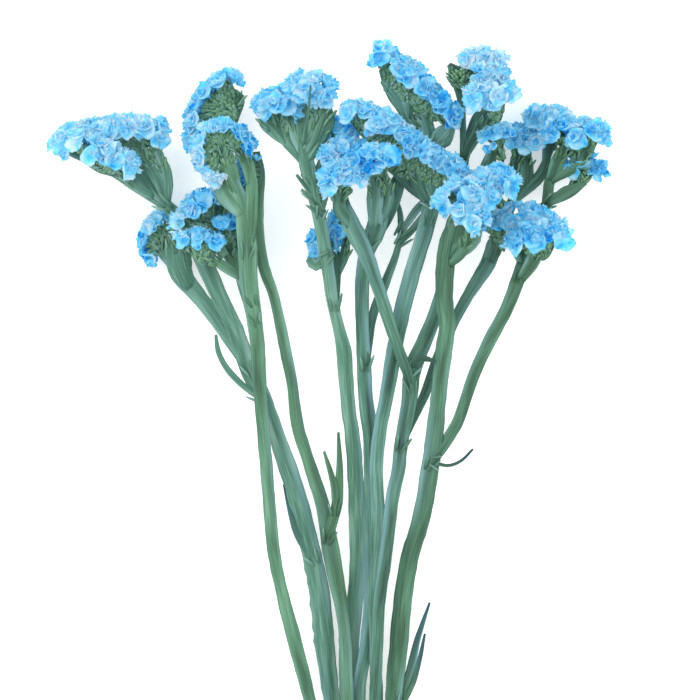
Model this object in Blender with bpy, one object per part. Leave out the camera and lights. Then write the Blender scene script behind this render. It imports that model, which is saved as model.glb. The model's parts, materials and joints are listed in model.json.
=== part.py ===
"""A loose bunch of dried statice, lying on a table with its flower heads fanned out.

The lists are in millimetres: x to the right, y up the stems from the tie, z above the table.
Stems, their winged branches and their bracts are one green solid for each stem that was cut.
The papery calyces of each flower spike are one blue solid, which sits on its green spike with a gap.
"""

import math
import random

import bmesh
import bpy
from mathutils import Matrix, Vector

MM = 0.001
SEED = 7

# Stems: a flat section, with thin edges on the wings and a low ridge above and below, in millimetres
GAP = 0.3
STEM_FLATNESS = 0.42
THICKEST_STEM = 3.4
SLIMMEST_RIDGE = 0.42
EDGE_THICKNESS = 0.7
STEM_STEP = 24.0
BRANCH_STEP = 18.0
RIB_STEP = 20.0
RIB_END_WIDTH = 2.4
SHARP_ANGLE = math.radians(35)

# Calyces: papery funnels in two rows along a slim core
CALYX_LENGTH = 8.2
CALYX_RADIUS = 5.1
CALYX_SPACING = 8.5
CALYX_SPREAD = math.radians(44)
CALYX_SIDES = 5
CALYX_DEPTH = 3.0
CALYX_RUFFLE = 1.0
CALYX_UNEVENNESS = 0.1
CALYX_VARIATION = 0.05
CALYX_LEAN = 0.16
CALYX_END_LEAN = 0.5
CALYX_LOOSENESS = 0.12
CALYX_INSET = 1.3
ROW_STAGGER = 0.25
CALYX_FOOT_DEPTH = 0.8
CORE_RADIUS = 1.1
CORE_INSET = 0.4
CORE_LIFT = 0.45
CORE_SIDES = 3
CORE_STEP = 6.0
LINE_STEP = 2.0

# A calyx that would cross a neighbour is tried again, looser and smaller each time
CALYX_TRIES = 8
LOOSER = 0.06
SMALLER = 0.04
CLEARANCE = 0.6
RIM_ALLOWANCE = 1.2
PLACES_ROUND = 8

# The green axis of a spike and the pointed bracts along it
SPIKE_HALF_WIDTH = 1.5
SPIKE_HALF_HEIGHT = 1.1
BRACT_SPACING = 9.0
BRACT_SHORTEST = 1.4
BRACT_VALLEY = 0.5
BRACT_LEAST = 0.8
BRACT_MOST = 1.15
BRACT_TIP_RADIUS = 0.8
BRACT_SPREAD = math.radians(38)
BRACT_SLANT = 0.35
BRACT_ROOT_DOWN = 1.4
BRACT_ROOT_OUT = 1.05

# The elastic band that holds the bunch
TIE_INNER_X = 11.8
TIE_BOTTOM = 0.0
TIE_TOP = 21.2
TIE_WALL = 1.5
TIE_LENGTH = 7.0
TIE_CORNER = 6.0
TIE_CORNER_STEPS = 3

# One list for each stem that was cut: its own route first, then its branches and leaves.
# A point is x, y, z and the width across the wings.
STEMS = {
    "stem_1": [
        [(-13, -65, 11, 4.4), (-10, -29, 10.5, 4.6), (-7, 0, 10.5, 4.8), (-15, 34, 10.5, 5.2),
         (-25, 76, 12, 5.6), (-35, 115, 18, 5.8), (-40, 139, 23, 5.8), (-42, 164, 28, 5.6),
         (-44, 189, 31, 5.6), (-45.5, 206, 33, 6), (-47, 231, 34, 6.5), (-50, 252, 35, 7.6),
         (-51, 271, 36, 8), (-53, 284, 37, 6.5), (-56, 294, 38, 3)],
        [(-47, 235, 34, 4), (-51, 244, 28, 4.5), (-55, 260, 18, 5), (-59, 277, 14, 5), (-61, 294, 14, 5.5),
         (-63, 307, 15, 5)],
        [(-48.5, 243, 34, 4), (-54, 256, 28, 6), (-60, 266, 22, 6), (-66, 276, 20, 4)],
        [(-51, 262, 35, 4), (-49, 276, 37, 5.5), (-48.5, 290, 38, 5.5), (-49.5, 302, 39, 3.5)],
    ],
    "stem_2": [
        [(-7, -66, 5, 4.6), (-6.5, -29, 4.8, 4.8), (-7, 0, 4.6, 5), (-10, 34, 4.8, 6), (-15.5, 76, 5, 7.4),
         (-18, 97, 7, 8), (-21, 122, 9, 8), (-28, 153, 14, 7.6), (-35, 176, 19, 7.6), (-43, 200, 24, 7),
         (-50, 214, 24, 7), (-56, 231, 23, 7.2), (-64, 248, 22, 7), (-71, 263, 21, 7), (-79, 277, 20, 6.4),
         (-85, 284, 20, 5)],
        [(-50, 214, 24, 4), (-61, 231, 18, 6.5), (-73, 247, 12, 7), (-80, 255, 9, 7.5), (-84, 261, 8, 4)],
        [(-85, 283, 20, 4), (-97, 291, 19, 4.5), (-106, 297, 19, 4), (-113, 301, 19, 4), (-123, 305, 19, 4),
         (-130, 308, 19, 2)],
        [(-23, 134, 11, 2), (-28.5, 142, 12.5, 2.8), (-32, 151, 14, 2.4), (-35.5, 166, 15, 1)],
        [(-64, 229, 26, 1.2), (-63, 222, 25, 2.2), (-59.5, 215, 24, 2.6), (-53, 208, 24, 3),
         (-45, 202, 24, 2.4)],
    ],
    "stem_3": [
        [(-5, -62, 16, 4.4), (-2, -29, 15.5, 4.6), (-7, 0, 16.4, 4.8), (-6, 34, 16.4, 5), (-9, 76, 15, 6),
         (-10, 105, 14.5, 6), (-13.5, 126, 15, 6.4), (-16, 139, 16, 7), (-19.5, 157, 18, 6),
         (-26, 178, 20, 5.6), (-30, 191, 21, 5.4), (-32, 208, 22, 4.6), (-35, 223, 23, 4.6),
         (-39, 244, 24, 4.6), (-44, 258, 25, 5), (-46.5, 271, 26, 5.6), (-47, 285, 27, 6),
         (-46.5, 298, 27, 5.6), (-47, 306, 27, 3)],
        [(-17, 143, 17, 4), (-13, 158, 21, 5), (-12, 172, 24, 3.4), (-12.5, 188, 25, 1.2)],
        [(-14, 155, 20, 3), (-14.5, 166, 24, 3), (-18.5, 180, 25, 1)],
    ],
    "stem_4": [
        [(2, -64, 5, 4.4), (0.5, -29, 4.8, 4.6), (0, 0, 4.6, 4.8), (-4, 34, 4.8, 5.4), (-7.5, 76, 6, 6.4),
         (-7, 101, 7, 6.6), (-6, 113, 8, 6.8), (-4.5, 134, 11, 7), (-5, 160, 18, 7), (-6.5, 185, 24, 6.8),
         (-8, 197, 26, 6.6), (-9, 210, 28, 6.4), (-10, 223, 30, 6.4), (-12, 231, 31, 4.8),
         (-15, 244, 33, 4.8), (-18, 265, 35, 6), (-22, 286, 37, 6.4), (-25.5, 300, 38, 7),
         (-27, 311, 38, 4)],
        [(-17, 262, 35, 3), (-22, 258, 32, 5), (-25, 261, 29, 3)],
        [(-14, 241, 33, 3), (-13.5, 254, 27, 4), (-13.5, 264, 23.5, 3)],
        [(-24, 294, 37, 2.4), (-29, 303, 36, 2.2), (-35, 312, 35, 2.2), (-40, 319, 35, 2)],
        [(-22, 286, 37, 2), (-26, 291, 38, 2.2), (-30, 296, 39, 1.2)],
        [(-20, 281, 36, 2), (-24, 286, 36, 2), (-28, 290, 36, 1.2)],
        [(-20, 279, 36, 2), (-18.5, 284, 38, 2.2), (-17, 288, 39, 1.2)],
    ],
    "stem_5": [
        [(6, -60, 11, 4.4), (3, -29, 10.6, 4.6), (0, 0, 10.5, 4.8), (-2, 34, 10.6, 5), (-4, 76, 12, 5.4),
         (-1, 97, 13.5, 5.6), (1, 118, 15.5, 6), (1.5, 151, 20, 6.2), (1, 185, 25, 6.2), (-1, 202, 28, 6),
         (-2.5, 231, 31, 5.8), (-2.5, 248, 33, 6), (-1, 262, 35, 6.6), (3.5, 275, 37, 9), (6, 285, 39, 6)],
        [(-1, 216, 30, 3), (2, 237, 30, 3.6), (7, 250, 29, 4), (13, 267, 28, 3), (13.5, 279, 28, 2.6),
         (12, 286, 28, 1.4)],
        [(13.5, 272, 28, 2.4), (20, 281, 28, 3.4), (26, 288, 28, 1.6)],
        [(13.5, 268, 28, 2.4), (20, 275, 27, 3.2), (26, 284, 27, 1.6)],
        [(0, 266, 35, 4), (6.5, 277, 34, 6.5), (11, 289, 33, 7), (15, 300, 32, 3)],
    ],
    "stem_6": [
        [(11, -63, 5, 4.4), (8, -29, 4.8, 4.6), (7, 0, 4.6, 4.8), (6, 34, 5, 5), (4, 76, 8.6, 5.2),
         (3, 97, 16.5, 5.4), (2.5, 118, 21.5, 5.6), (3.5, 134, 23.5, 5.8), (4.2, 151, 26, 5.8),
         (3.5, 172, 29.5, 5.8), (5, 189, 32, 6), (7.5, 202, 33, 6.4), (11.5, 225, 34, 6.6),
         (15.5, 244, 35, 6.6), (20, 260, 36, 6.8), (24, 273, 37, 7), (26.5, 285, 38, 7), (26, 294, 38, 4)],
        [(25, 277, 37, 4), (27, 291, 31, 5), (28, 304, 28, 6), (26, 315, 27, 3)],
        [(28, 300, 29, 3), (22, 310, 27, 4), (17, 319, 27, 4.6), (12, 328, 27, 5), (6, 336, 27, 2.4)],
        [(27, 308, 28, 4), (31, 312, 28, 9), (36, 318, 28, 3)],
        [(26, 284, 38, 3), (17, 293, 36, 6), (9, 303, 36, 6), (2, 312, 37, 3)],
    ],
    "stem_7": [
        [(4, -58, 16.5, 4.4), (3, -29, 16.4, 4.6), (0, 0, 16.4, 4.8), (1, 34, 16.6, 5), (3, 76, 20, 5.2),
         (4, 97, 23, 5.2), (5, 118, 27, 5.4), (7, 134, 30, 5.6), (10, 160, 31, 5.8), (12.5, 172, 31, 6),
         (14, 185, 32, 6), (17, 200, 33, 6.2), (18.5, 214, 33, 7), (24, 227, 31, 6), (29.5, 241, 29, 6),
         (33.5, 258, 27, 6), (36.5, 275, 24, 6), (38, 290, 22, 6.4), (40, 303, 21, 5)],
        [(18.5, 206, 33, 4), (16.8, 213, 35, 4.4), (13, 222, 39.5, 5), (8.5, 235, 43, 5.6), (3, 252, 44, 6),
         (-1.5, 264, 45, 7), (-6.5, 274, 46, 8), (-10.5, 284, 46, 5)],
        [(13.5, 182, 32, 3), (18.5, 193, 28, 4), (24, 204, 26, 4.2), (29, 218, 25, 4.4),
         (34.5, 231, 24, 4.4), (38.5, 239, 24, 4.6), (45, 250, 23, 5.6), (50.5, 259, 22, 6.6),
         (53, 267, 20, 6), (57, 276, 16, 5), (61.5, 286, 12, 5), (67, 291, 10, 5.4), (73, 297, 9, 5),
         (76, 305, 9, 3)],
        [(40, 302, 21, 3), (40, 314, 22, 3), (39.5, 326, 22, 3.4), (39, 333, 22, 6), (38, 338, 22, 8),
         (34, 343, 22, 2)],
        [(38, 280, 23, 3), (42, 286, 22, 3.4), (47, 293, 21, 4), (50.5, 300, 21, 6.5), (52, 306, 22, 4)],
        [(18, 213, 33, 3), (21.5, 219, 35, 3.4), (28, 218, 37, 1.2)],
    ],
    "stem_8": [
        [(15, -55, 11, 4.6), (9.5, -29, 10.6, 4.8), (7, 0, 10.5, 5), (8, 34, 11, 6), (11, 76, 12, 7),
         (13, 97, 13, 7.6), (14, 113, 15, 8), (17.5, 134, 20, 8.2), (22, 151, 24, 8), (25, 168, 27, 7.8),
         (27.5, 185, 30, 7.6), (29.5, 202, 33, 7.4), (31.5, 222, 36, 7.2), (33, 234, 38, 7),
         (32, 242, 40, 7.6), (32.5, 258, 43, 8), (34, 268, 45, 8), (35, 274, 47, 5)],
        [(26, 174, 28, 4), (30.5, 181, 29, 5), (37, 191, 30, 5.2), (41, 202, 31, 5.4), (45, 214, 33, 5.4),
         (51, 227, 34, 5.6), (57.5, 239, 35, 5.6), (62, 250, 36, 5.8), (65, 259, 37, 5)],
        [(63, 253, 36, 3.4), (69, 268, 27, 4), (75, 282, 17, 4.4), (76.5, 292, 14, 4.6),
         (78.5, 301, 13, 3)],
        [(75.5, 284, 17, 2.4), (84, 289, 17, 6), (92, 293, 17, 1.6)],
        [(26.5, 176, 28, 2), (33, 174, 31, 1.6), (39, 176, 32, 1.4), (44, 181, 33, 1)],
        [(14, 74, 12, 3), (18, 88, 13, 3.4), (21, 101, 14, 2.6), (26, 116, 15, 1)],
        [(14, 72, 12, 2.4), (19, 82, 16, 2.4), (22, 93, 18, 2), (24, 103, 18, 1)],
    ],
}

# The spikes: name, stem, how far the flowers turn to face up (degrees), size, length of the bracts,
# and the line on which the calyces stand. They stand on the left of that line, seen from above.
SPIKES = [
    ("spike_01", "stem_2", 32, 1.0, 8, [(-127, 308, 20), (-122, 310.5, 20), (-113, 312, 20),
                                        (-102, 314, 20), (-91, 312, 21)]),
    ("spike_02", "stem_2", 40, 0.95, 4, [(-121, 307, 28), (-113, 304, 28), (-104, 299.5, 28)]),
    ("spike_03", "stem_1", 0, 0.9, 9, [(-70, 312, 17), (-70, 318, 18), (-68, 325, 19), (-63, 330.5, 19),
                                       (-58, 333.5, 19)]),
    ("spike_04", "stem_1", 4, 0.8, 6, [(-63, 298.5, 40), (-66.5, 303, 41), (-67.5, 308.5, 41),
                                       (-64.5, 312.5, 41), (-59, 312.5, 41), (-54, 308.5, 41)]),
    ("spike_05", "stem_3", 5, 0.75, 4, [(-50, 290, 28), (-49.5, 296, 28), (-49, 302, 28)]),
    ("spike_06", "stem_1", 15, 0.9, 7, [(-77, 275.5, 25), (-73.5, 279, 25), (-70, 283, 25),
                                        (-66, 284, 25)]),
    ("spike_07", "stem_1", 10, 0.85, 4, [(-75, 266, 32), (-70, 266, 32), (-66, 265.5, 32)]),
    ("spike_08", "stem_1", 15, 0.85, 4, [(-60.5, 272, 26), (-56, 271, 26)]),
    ("spike_09", "stem_2", 4, 0.8, 8, [(-90, 264.5, 7.98), (-91, 268, 7.98), (-89.5, 272.5, 7.98),
                                       (-86, 275.5, 7.98), (-82, 276.5, 7.98)]),
    ("spike_10", "stem_4", 38, 1.0, 8, [(-40, 324, 36), (-36.5, 325, 36), (-32.5, 324.5, 36)]),
    ("spike_11", "stem_4", 42, 1.05, 7, [(-28, 330, 41), (-25, 331, 41), (-21.5, 330, 41)]),
    ("spike_12", "stem_4", 25, 0.85, 4, [(-15.5, 312.5, 31), (-12.5, 313, 31), (-9.5, 312.5, 31)]),
    ("spike_13", "stem_4", 20, 0.75, 4, [(-18.5, 263, 26), (-19.5, 268, 26)]),
    ("spike_14", "stem_4", 15, 0.8, 4, [(-10.5, 270, 24), (-11.5, 276, 24)]),
    ("spike_15", "stem_7", 25, 1.05, 5, [(-13.5, 302, 41), (-9.5, 303.5, 40), (-6, 303.5, 40)]),
    ("spike_16", "stem_7", 45, 1.05, 5, [(-13, 292.5, 54), (-10.5, 293.5, 54), (-8, 293.5, 54)]),
    ("spike_17", "stem_5", 40, 1.05, 5, [(-1, 299, 52), (2.5, 300, 52), (6, 300.5, 52)]),
    ("spike_18", "stem_6", 22, 0.98, 8, [(-6, 319.5, 40), (-0.5, 317.5, 40), (5.5, 314.5, 40),
                                         (12.5, 309.5, 40), (19, 304.5, 40), (26, 300, 40),
                                         (33, 296.5, 40), (39, 291.5, 40)]),
    ("spike_19", "stem_6", 23, 1.08, 7, [(6, 342.5, 28), (12.5, 337.5, 28), (18.5, 332.5, 28),
                                         (24, 326.5, 28), (28.5, 323.5, 28), (31, 321.5, 28)]),
    ("spike_20", "stem_7", 14, 0.92, 7, [(43.5, 342, 22), (47.5, 342.4, 22), (51.5, 342, 22)]),
    ("spike_21", "stem_7", 50, 0.85, 4, [(48.5, 336.5, 30), (53.5, 336.5, 30)]),
    ("spike_22", "stem_7", 38, 1.0, 7, [(46, 326.5, 36), (51.5, 327, 36), (56.5, 327.5, 36)]),
    ("spike_23", "stem_7", 20, 0.85, 6, [(52, 311, 24), (56, 311.5, 24)]),
    ("spike_24", "stem_7", 35, 0.95, 7, [(62.5, 310, 8), (68.5, 310, 8)]),
    ("spike_25", "stem_7", 15, 1.05, 6, [(74, 317, 8.56), (80, 317, 8.56)]),
    ("spike_26", "stem_8", 35, 1.0, 8, [(80, 311.5, 18), (87, 312, 18), (96, 312, 18)]),
    ("spike_27", "stem_8", 38, 0.78, 4, [(87, 299, 9), (89.5, 301, 9), (92.5, 301, 9), (95, 298.5, 9)]),
    ("spike_28", "stem_8", 38, 1.05, 7, [(51, 290.5, 47), (53.5, 291, 47), (56, 290.5, 47)]),
    ("spike_29", "stem_8", 45, 1.0, 7, [(34, 284, 55), (40, 286, 55), (47, 284.5, 55)]),
    ("spike_30", "stem_8", 50, 0.85, 4, [(41, 277, 61), (45.5, 277, 61)]),
    ("spike_31", "stem_8", 32, 1.05, 7, [(61, 275.5, 36), (66, 276, 36), (71, 274.5, 36), (75, 272, 36)]),
    ("spike_32", "stem_8", 35, 1.0, 5, [(64, 266.5, 47), (70, 267.5, 47), (77, 268, 47)]),
    ("spike_33", "stem_7", 10, 0.85, 5, [(51.5, 272, 31), (56, 273, 31)]),
]

# The winged ribs that carry a spike: stem, its first points, the spike, and how far along it they end.
RIBS = [
    ("stem_2", [(-85, 284, 20, 4), (-86, 297, 20, 7)], "spike_01", 0.97),
    ("stem_2", [(-85.5, 284.5, 20, 5), (-91, 298, 20, 8)], "spike_01", 0.76),
    ("stem_2", [(-86, 285, 20, 4), (-97, 298, 20, 7)], "spike_01", 0.5),
    ("stem_2", [(-108, 298, 19, 3), (-117, 306, 19, 4)], "spike_01", 0.2),
    ("stem_2", [(-90, 287, 20, 3), (-98, 292, 24, 5)], "spike_02", 0.9),
    ("stem_2", [(-107, 297, 19, 3), (-112, 299.5, 24, 4)], "spike_02", 0.3),
    ("stem_1", [(-62, 300, 14, 4), (-66, 308, 16, 5)], "spike_03", 0.1),
    ("stem_1", [(-62, 303, 14, 5), (-61, 318, 16, 8)], "spike_03", 0.5),
    ("stem_1", [(-62, 305, 14, 5), (-58, 320, 16, 7), (-55, 329, 18, 6)], "spike_03", 0.95),
    ("stem_1", [(-53, 280, 37, 6), (-59, 288, 37, 10), (-62.5, 295, 38, 4)], "spike_04", 0.14),
    ("stem_1", [(-54, 287, 37, 5), (-61, 300, 39, 6)], "spike_04", 0.4),
    ("stem_1", [(-49, 292, 38, 4), (-50.5, 300, 39, 5)], "spike_04", 0.9),
    ("stem_3", [(-47, 280, 27, 4), (-48, 286, 27, 4)], "spike_05", 0.3),
    ("stem_1", [(-62, 269, 21, 4), (-69, 275, 22, 6)], "spike_06", 0.3),
    ("stem_1", [(-62, 270, 21, 4), (-64, 276, 22, 5)], "spike_06", 0.85),
    ("stem_1", [(-53, 253, 29, 4), (-61, 258, 30, 5)], "spike_07", 0.5),
    ("stem_1", [(-53, 255, 29, 3), (-57, 262, 26, 4)], "spike_08", 0.5),
    ("stem_2", [(-81, 257, 9, 5), (-87, 265, 8, 6)], "spike_09", 0.5),
    ("stem_2", [(-80, 256, 9, 5), (-82, 267, 8, 7)], "spike_09", 0.85),
    ("stem_4", [(-27, 301, 38, 3), (-35.5, 313, 36, 5)], "spike_10", 0.4),
    ("stem_4", [(-26, 303, 38, 4), (-30, 312, 37, 6)], "spike_10", 0.9),
    ("stem_4", [(-27, 306, 38, 4), (-27, 318, 39, 7)], "spike_11", 0.35),
    ("stem_4", [(-25, 302, 38, 4), (-20, 314, 39, 7)], "spike_11", 0.85),
    ("stem_4", [(-23, 293, 37, 3), (-18, 303, 34, 5)], "spike_12", 0.4),
    ("stem_4", [(-17.5, 257, 34, 3), (-16.5, 261, 29, 4)], "spike_13", 0.5),
    ("stem_4", [(-13.5, 253, 27, 3), (-9.5, 264, 23.5, 4)], "spike_14", 0.5),
    ("stem_7", [(-8, 278, 46, 5), (-12, 289, 45, 6)], "spike_15", 0.4),
    ("stem_7", [(-7, 275, 46, 5), (-12, 282, 49, 6)], "spike_16", 0.5),
    ("stem_5", [(3, 274, 37, 6), (3, 286, 43, 8)], "spike_17", 0.45),
    ("stem_5", [(4, 276, 37, 5), (8, 287, 43, 6)], "spike_17", 0.9),
    ("stem_6", [(10, 301, 36, 4), (5, 308, 37, 6)], "spike_18", 0.3),
    ("stem_6", [(26, 284, 38, 5), (21, 294, 38, 7)], "spike_18", 0.66),
    ("stem_6", [(26, 284, 38, 5), (29.5, 288, 38, 7)], "spike_18", 0.86),
    ("stem_6", [(8, 331, 27, 3), (9, 335, 27, 5)], "spike_19", 0.15),
    ("stem_6", [(17, 319, 27, 4), (17, 327, 27, 6)], "spike_19", 0.42),
    ("stem_6", [(27, 308, 28, 4), (24, 317, 27, 7)], "spike_19", 0.65),
    ("stem_6", [(33, 313, 28, 3), (34, 316, 28, 3)], "spike_19", 0.93),
    ("stem_7", [(38, 332, 22, 3), (38, 337, 22, 5)], "spike_20", 0.12),
    ("stem_7", [(39, 328, 22, 3), (47, 335, 20, 5)], "spike_20", 0.6),
    ("stem_7", [(40, 306, 21, 3), (46, 320, 22, 5), (51, 328, 24, 4)], "spike_21", 0.4),
    ("stem_7", [(40, 303, 21, 4), (45, 312, 25, 5), (50, 320, 29, 6)], "spike_22", 0.6),
    ("stem_7", [(50.5, 299, 21, 4), (52, 304, 22, 5)], "spike_23", 0.5),
    ("stem_7", [(62, 287, 12, 4), (62, 297, 10, 6)], "spike_24", 0.15),
    ("stem_7", [(66, 291, 10, 4), (67, 298, 9, 6)], "spike_24", 0.75),
    ("stem_7", [(75, 302, 9, 3), (76.5, 310, 9, 5)], "spike_25", 0.4),
    ("stem_8", [(77, 294, 14, 4), (80, 302, 15, 6)], "spike_26", 0.25),
    ("stem_8", [(77, 294, 14, 4), (89, 302, 15, 6)], "spike_26", 0.75),
    ("stem_8", [(76, 287, 16, 3), (84, 289, 11, 4), (88, 293, 9.5, 5)], "spike_27", 0.4),
    ("stem_8", [(35, 272, 46, 4), (46, 279, 45, 6), (51, 284, 46, 5)], "spike_28", 0.5),
    ("stem_8", [(34, 266, 44, 5), (37, 275, 49, 9)], "spike_29", 0.45),
    ("stem_8", [(34, 262, 44, 5), (43, 270, 48, 9)], "spike_29", 0.8),
    ("stem_8", [(34, 258, 43, 3), (40, 265, 53, 5)], "spike_30", 0.5),
    ("stem_8", [(65, 258, 37, 4), (62, 267, 36, 6)], "spike_31", 0.2),
    ("stem_8", [(65, 258, 37, 4), (71, 268, 36, 7)], "spike_31", 0.75),
    ("stem_8", [(64, 252, 37, 4), (69, 260, 42, 6)], "spike_32", 0.4),
    ("stem_7", [(51, 260, 22, 5), (53, 266, 26, 7)], "spike_33", 0.5),
]


def clear_scene():
    for old in list(bpy.data.objects):
        bpy.data.objects.remove(old)


def make_material(name, colour, roughness):
    material = bpy.data.materials.new(name)
    material.use_nodes = True
    shader = material.node_tree.nodes["Principled BSDF"]
    shader.inputs["Base Color"].default_value = (*colour, 1)
    shader.inputs["Roughness"].default_value = roughness
    shader.inputs["Metallic"].default_value = 0
    return material


def smooth_route(points, step):
    """Samples about a step apart on a smooth curve through the points. The width, if given, follows too."""
    rows = [Vector(p) for p in points]
    rows = [rows[0] * 2 - rows[1]] + rows + [rows[-1] * 2 - rows[-2]]
    samples = []
    for before, start, end, after in zip(rows, rows[1:], rows[2:], rows[3:]):
        count = max(1, round((end - start).length / step))
        for i in range(count):
            t = i / count
            samples.append(0.5 * (2 * start + (end - before) * t
                                  + (2 * before - 5 * start + 4 * end - after) * t ** 2
                                  + (3 * start - before - 3 * end + after) * t ** 3))
    return samples + [rows[-2]]


def tangents(points):
    ends = [points[0]] + points + [points[-1]]
    return [(after - before).normalized() for before, after in zip(ends, ends[2:])]


def closed_mesh(name, points, faces):
    """A mesh in metres from points in millimetres, with its faces turned outwards."""
    mesh = bpy.data.meshes.new(name)
    mesh.from_pydata([p * MM for p in points], [], faces)
    shape = bmesh.new()
    shape.from_mesh(mesh)
    bmesh.ops.triangulate(shape, faces=shape.faces)
    bmesh.ops.recalc_face_normals(shape, faces=shape.faces)
    if shape.calc_volume(signed=True) < 0:
        bmesh.ops.reverse_faces(shape, faces=shape.faces)
    shape.to_mesh(mesh)
    shape.free()
    return mesh


def loft(name, rings):
    """A closed solid through rings of the same number of points."""
    count = len(rings[0])
    points = [p for ring in rings for p in ring]
    faces = [tuple(range(count)), tuple(range(len(points) - count, len(points)))]
    for start in range(0, len(points) - count, count):
        for i in range(count):
            j = (i + 1) % count
            faces.append((start + i, start + j, start + count + j, start + count + i))
    return closed_mesh(name, points, faces)


def ridge_height(width):
    return max(SLIMMEST_RIDGE, min(width * STEM_FLATNESS, THICKEST_STEM) / 2)


def stem_section(centre, along, width, winged):
    """A flat section with a low ridge above and below. A winged one also has two thin edges."""
    across = along.cross(Vector((0, 0, 1))).normalized()
    up = across.cross(along)
    half = max(width, EDGE_THICKNESS) / 2
    edge = EDGE_THICKNESS / 2
    ridge = ridge_height(width)
    if winged:
        outline = [(half, -edge), (half, edge), (0, ridge), (-half, edge), (-half, -edge), (0, -ridge)]
    else:
        outline = [(half, 0), (0, ridge), (-half, 0), (0, -ridge)]
    return [centre + across * x + up * y for x, y in outline]


class Spike:
    """The line on which one spike's calyces stand, with the directions at each place on it."""

    def __init__(self, name, stem, facing, size, bract, points):
        self.name = name
        self.stem = stem
        self.size = size
        self.bract = bract
        self.points = smooth_route(points, LINE_STEP)
        self.along = tangents(self.points)
        turn = math.radians(facing)
        self.out = []
        for along in self.along:
            left = Vector((-along.y, along.x, 0)).normalized()
            out = left * math.cos(turn) + Vector((0, 0, math.sin(turn)))
            self.out.append((out - along * out.dot(along)).normalized())
        self.lengths = [0.0]
        for here, there in zip(self.points, self.points[1:]):
            self.lengths.append(self.lengths[-1] + (there - here).length)

    def at(self, distance):
        """Place, direction along and direction out at a distance from the spike's start."""
        distance = min(max(distance, 0.0), self.lengths[-1])
        i = next(k for k, end in enumerate(self.lengths) if end >= distance)
        i = max(i, 1)
        share = (distance - self.lengths[i - 1]) / (self.lengths[i] - self.lengths[i - 1])
        return (self.points[i - 1].lerp(self.points[i], share),
                self.along[i - 1].lerp(self.along[i], share).normalized(),
                self.out[i - 1].lerp(self.out[i], share).normalized())

    def rachis_centre(self, distance):
        place, along, out = self.at(distance)
        return place - out * (GAP / 2 + SPIKE_HALF_HEIGHT)

    def tube(self, name, offset, radius, sides, inset):
        """A slim closed tube along the spike, offset outwards and a little shorter at both ends."""
        usable = self.lengths[-1] - 2 * inset
        count = max(1, round(usable / CORE_STEP))
        rings = []
        for k in range(count + 1):
            place, along, out = self.at(inset + usable * k / count)
            across = along.cross(out)
            centre = place + out * offset
            ring = []
            for i in range(sides):
                angle = math.pi * (2 * i / sides - 0.5)
                ring.append(centre + (across * math.cos(angle) + out * math.sin(angle)) * radius)
            rings.append(ring)
        return loft(name, rings)


def calyx_mesh(name, root, axis, length, radius, turn):
    """One funnel-shaped calyx: a pointed foot, a ruffled rim and a sunken bed."""
    side = axis.orthogonal().normalized()
    other = axis.cross(side)
    rim = []
    for i in range(CALYX_SIDES):
        angle = turn + 2 * math.pi * i / CALYX_SIDES
        wave = math.sin(2 * angle + turn * 5)
        reach = radius * (1 + CALYX_UNEVENNESS * math.cos(angle + turn * 3))
        out = side * math.cos(angle) + other * math.sin(angle)
        rim.append(root + axis * (length + CALYX_RUFFLE * wave) + out * reach)
    points = rim + [root, root + axis * (length - CALYX_DEPTH)]
    faces = []
    for i in range(CALYX_SIDES):
        j = (i + 1) % CALYX_SIDES
        faces += [(CALYX_SIDES, j, i), (i, j, CALYX_SIDES + 1)]
    return closed_mesh(name, points, faces)


def comb_mesh(spike, reaches):
    """The green axis of a spike, with two rows of pointed bracts: long and short places by turns."""
    last = len(reaches) - 1
    rings = []
    for k, pair in enumerate(reaches):
        place, along, out = spike.at(spike.lengths[-1] * k / last)
        across = along.cross(out)
        top = place - out * GAP / 2
        ring = [top - across * SPIKE_HALF_WIDTH, top + across * SPIKE_HALF_WIDTH]
        ring.append(bract_tip(top, along, out, across, 1, pair[1]))
        ring.append(top - out * 2 * SPIKE_HALF_HEIGHT)
        ring.append(bract_tip(top, along, out, across, -1, pair[0]))
        rings.append(ring)
    return loft(spike.name + "_axis", rings)


def bract_tip(top, along, out, across, side, reach):
    root = top - out * BRACT_ROOT_DOWN + across * side * BRACT_ROOT_OUT
    lean = across * side * math.sin(BRACT_SPREAD) - out * math.cos(BRACT_SPREAD)
    return root + (lean + along * BRACT_SLANT) * (reach - BRACT_SHORTEST)


class Crowd:
    """What is already placed, so that a calyx or a bract which would cross another piece is seen."""

    def __init__(self):
        self.boxes = []
        self.cones = []

    def add_route(self, node, samples):
        points = [Vector(s[:3]) for s in samples]
        for here, there, row in zip(points, points[1:], samples):
            along = (there - here).normalized()
            across = along.cross(Vector((0, 0, 1))).normalized()
            half = ((there - here).length / 2, row[3] / 2, ridge_height(row[3]))
            self.boxes.append((node, (here + there) / 2, (along, across, across.cross(along)), half))

    def add_cone(self, node, root, axis, length, radius, places):
        self.cones.append((node, root, axis, length, radius, places))

    def in_box(self, place, own):
        for node, centre, axes, half in self.boxes:
            if node == own:
                continue
            apart = place - centre
            if all(abs(apart.dot(axis)) < reach + CLEARANCE for axis, reach in zip(axes, half)):
                return True
        return False

    def in_cone(self, place, own):
        return any(node != own and inside_cone(place, root, axis, length, radius)
                   for node, root, axis, length, radius, _ in self.cones)

    def crosses(self, own, root, axis, length, radius, places):
        if any(self.in_box(p, own) or self.in_cone(p, own) for p in places):
            return True
        return any(node != own and any(inside_cone(p, root, axis, length, radius) for p in others)
                   for node, _, _, _, _, others in self.cones)


def inside_cone(place, root, axis, length, radius):
    apart = place - root
    height = apart.dot(axis)
    if not -CLEARANCE < height < length + RIM_ALLOWANCE + CLEARANCE:
        return False
    return (apart - axis * height).length < radius * max(height, 0) / length + CLEARANCE


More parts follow.
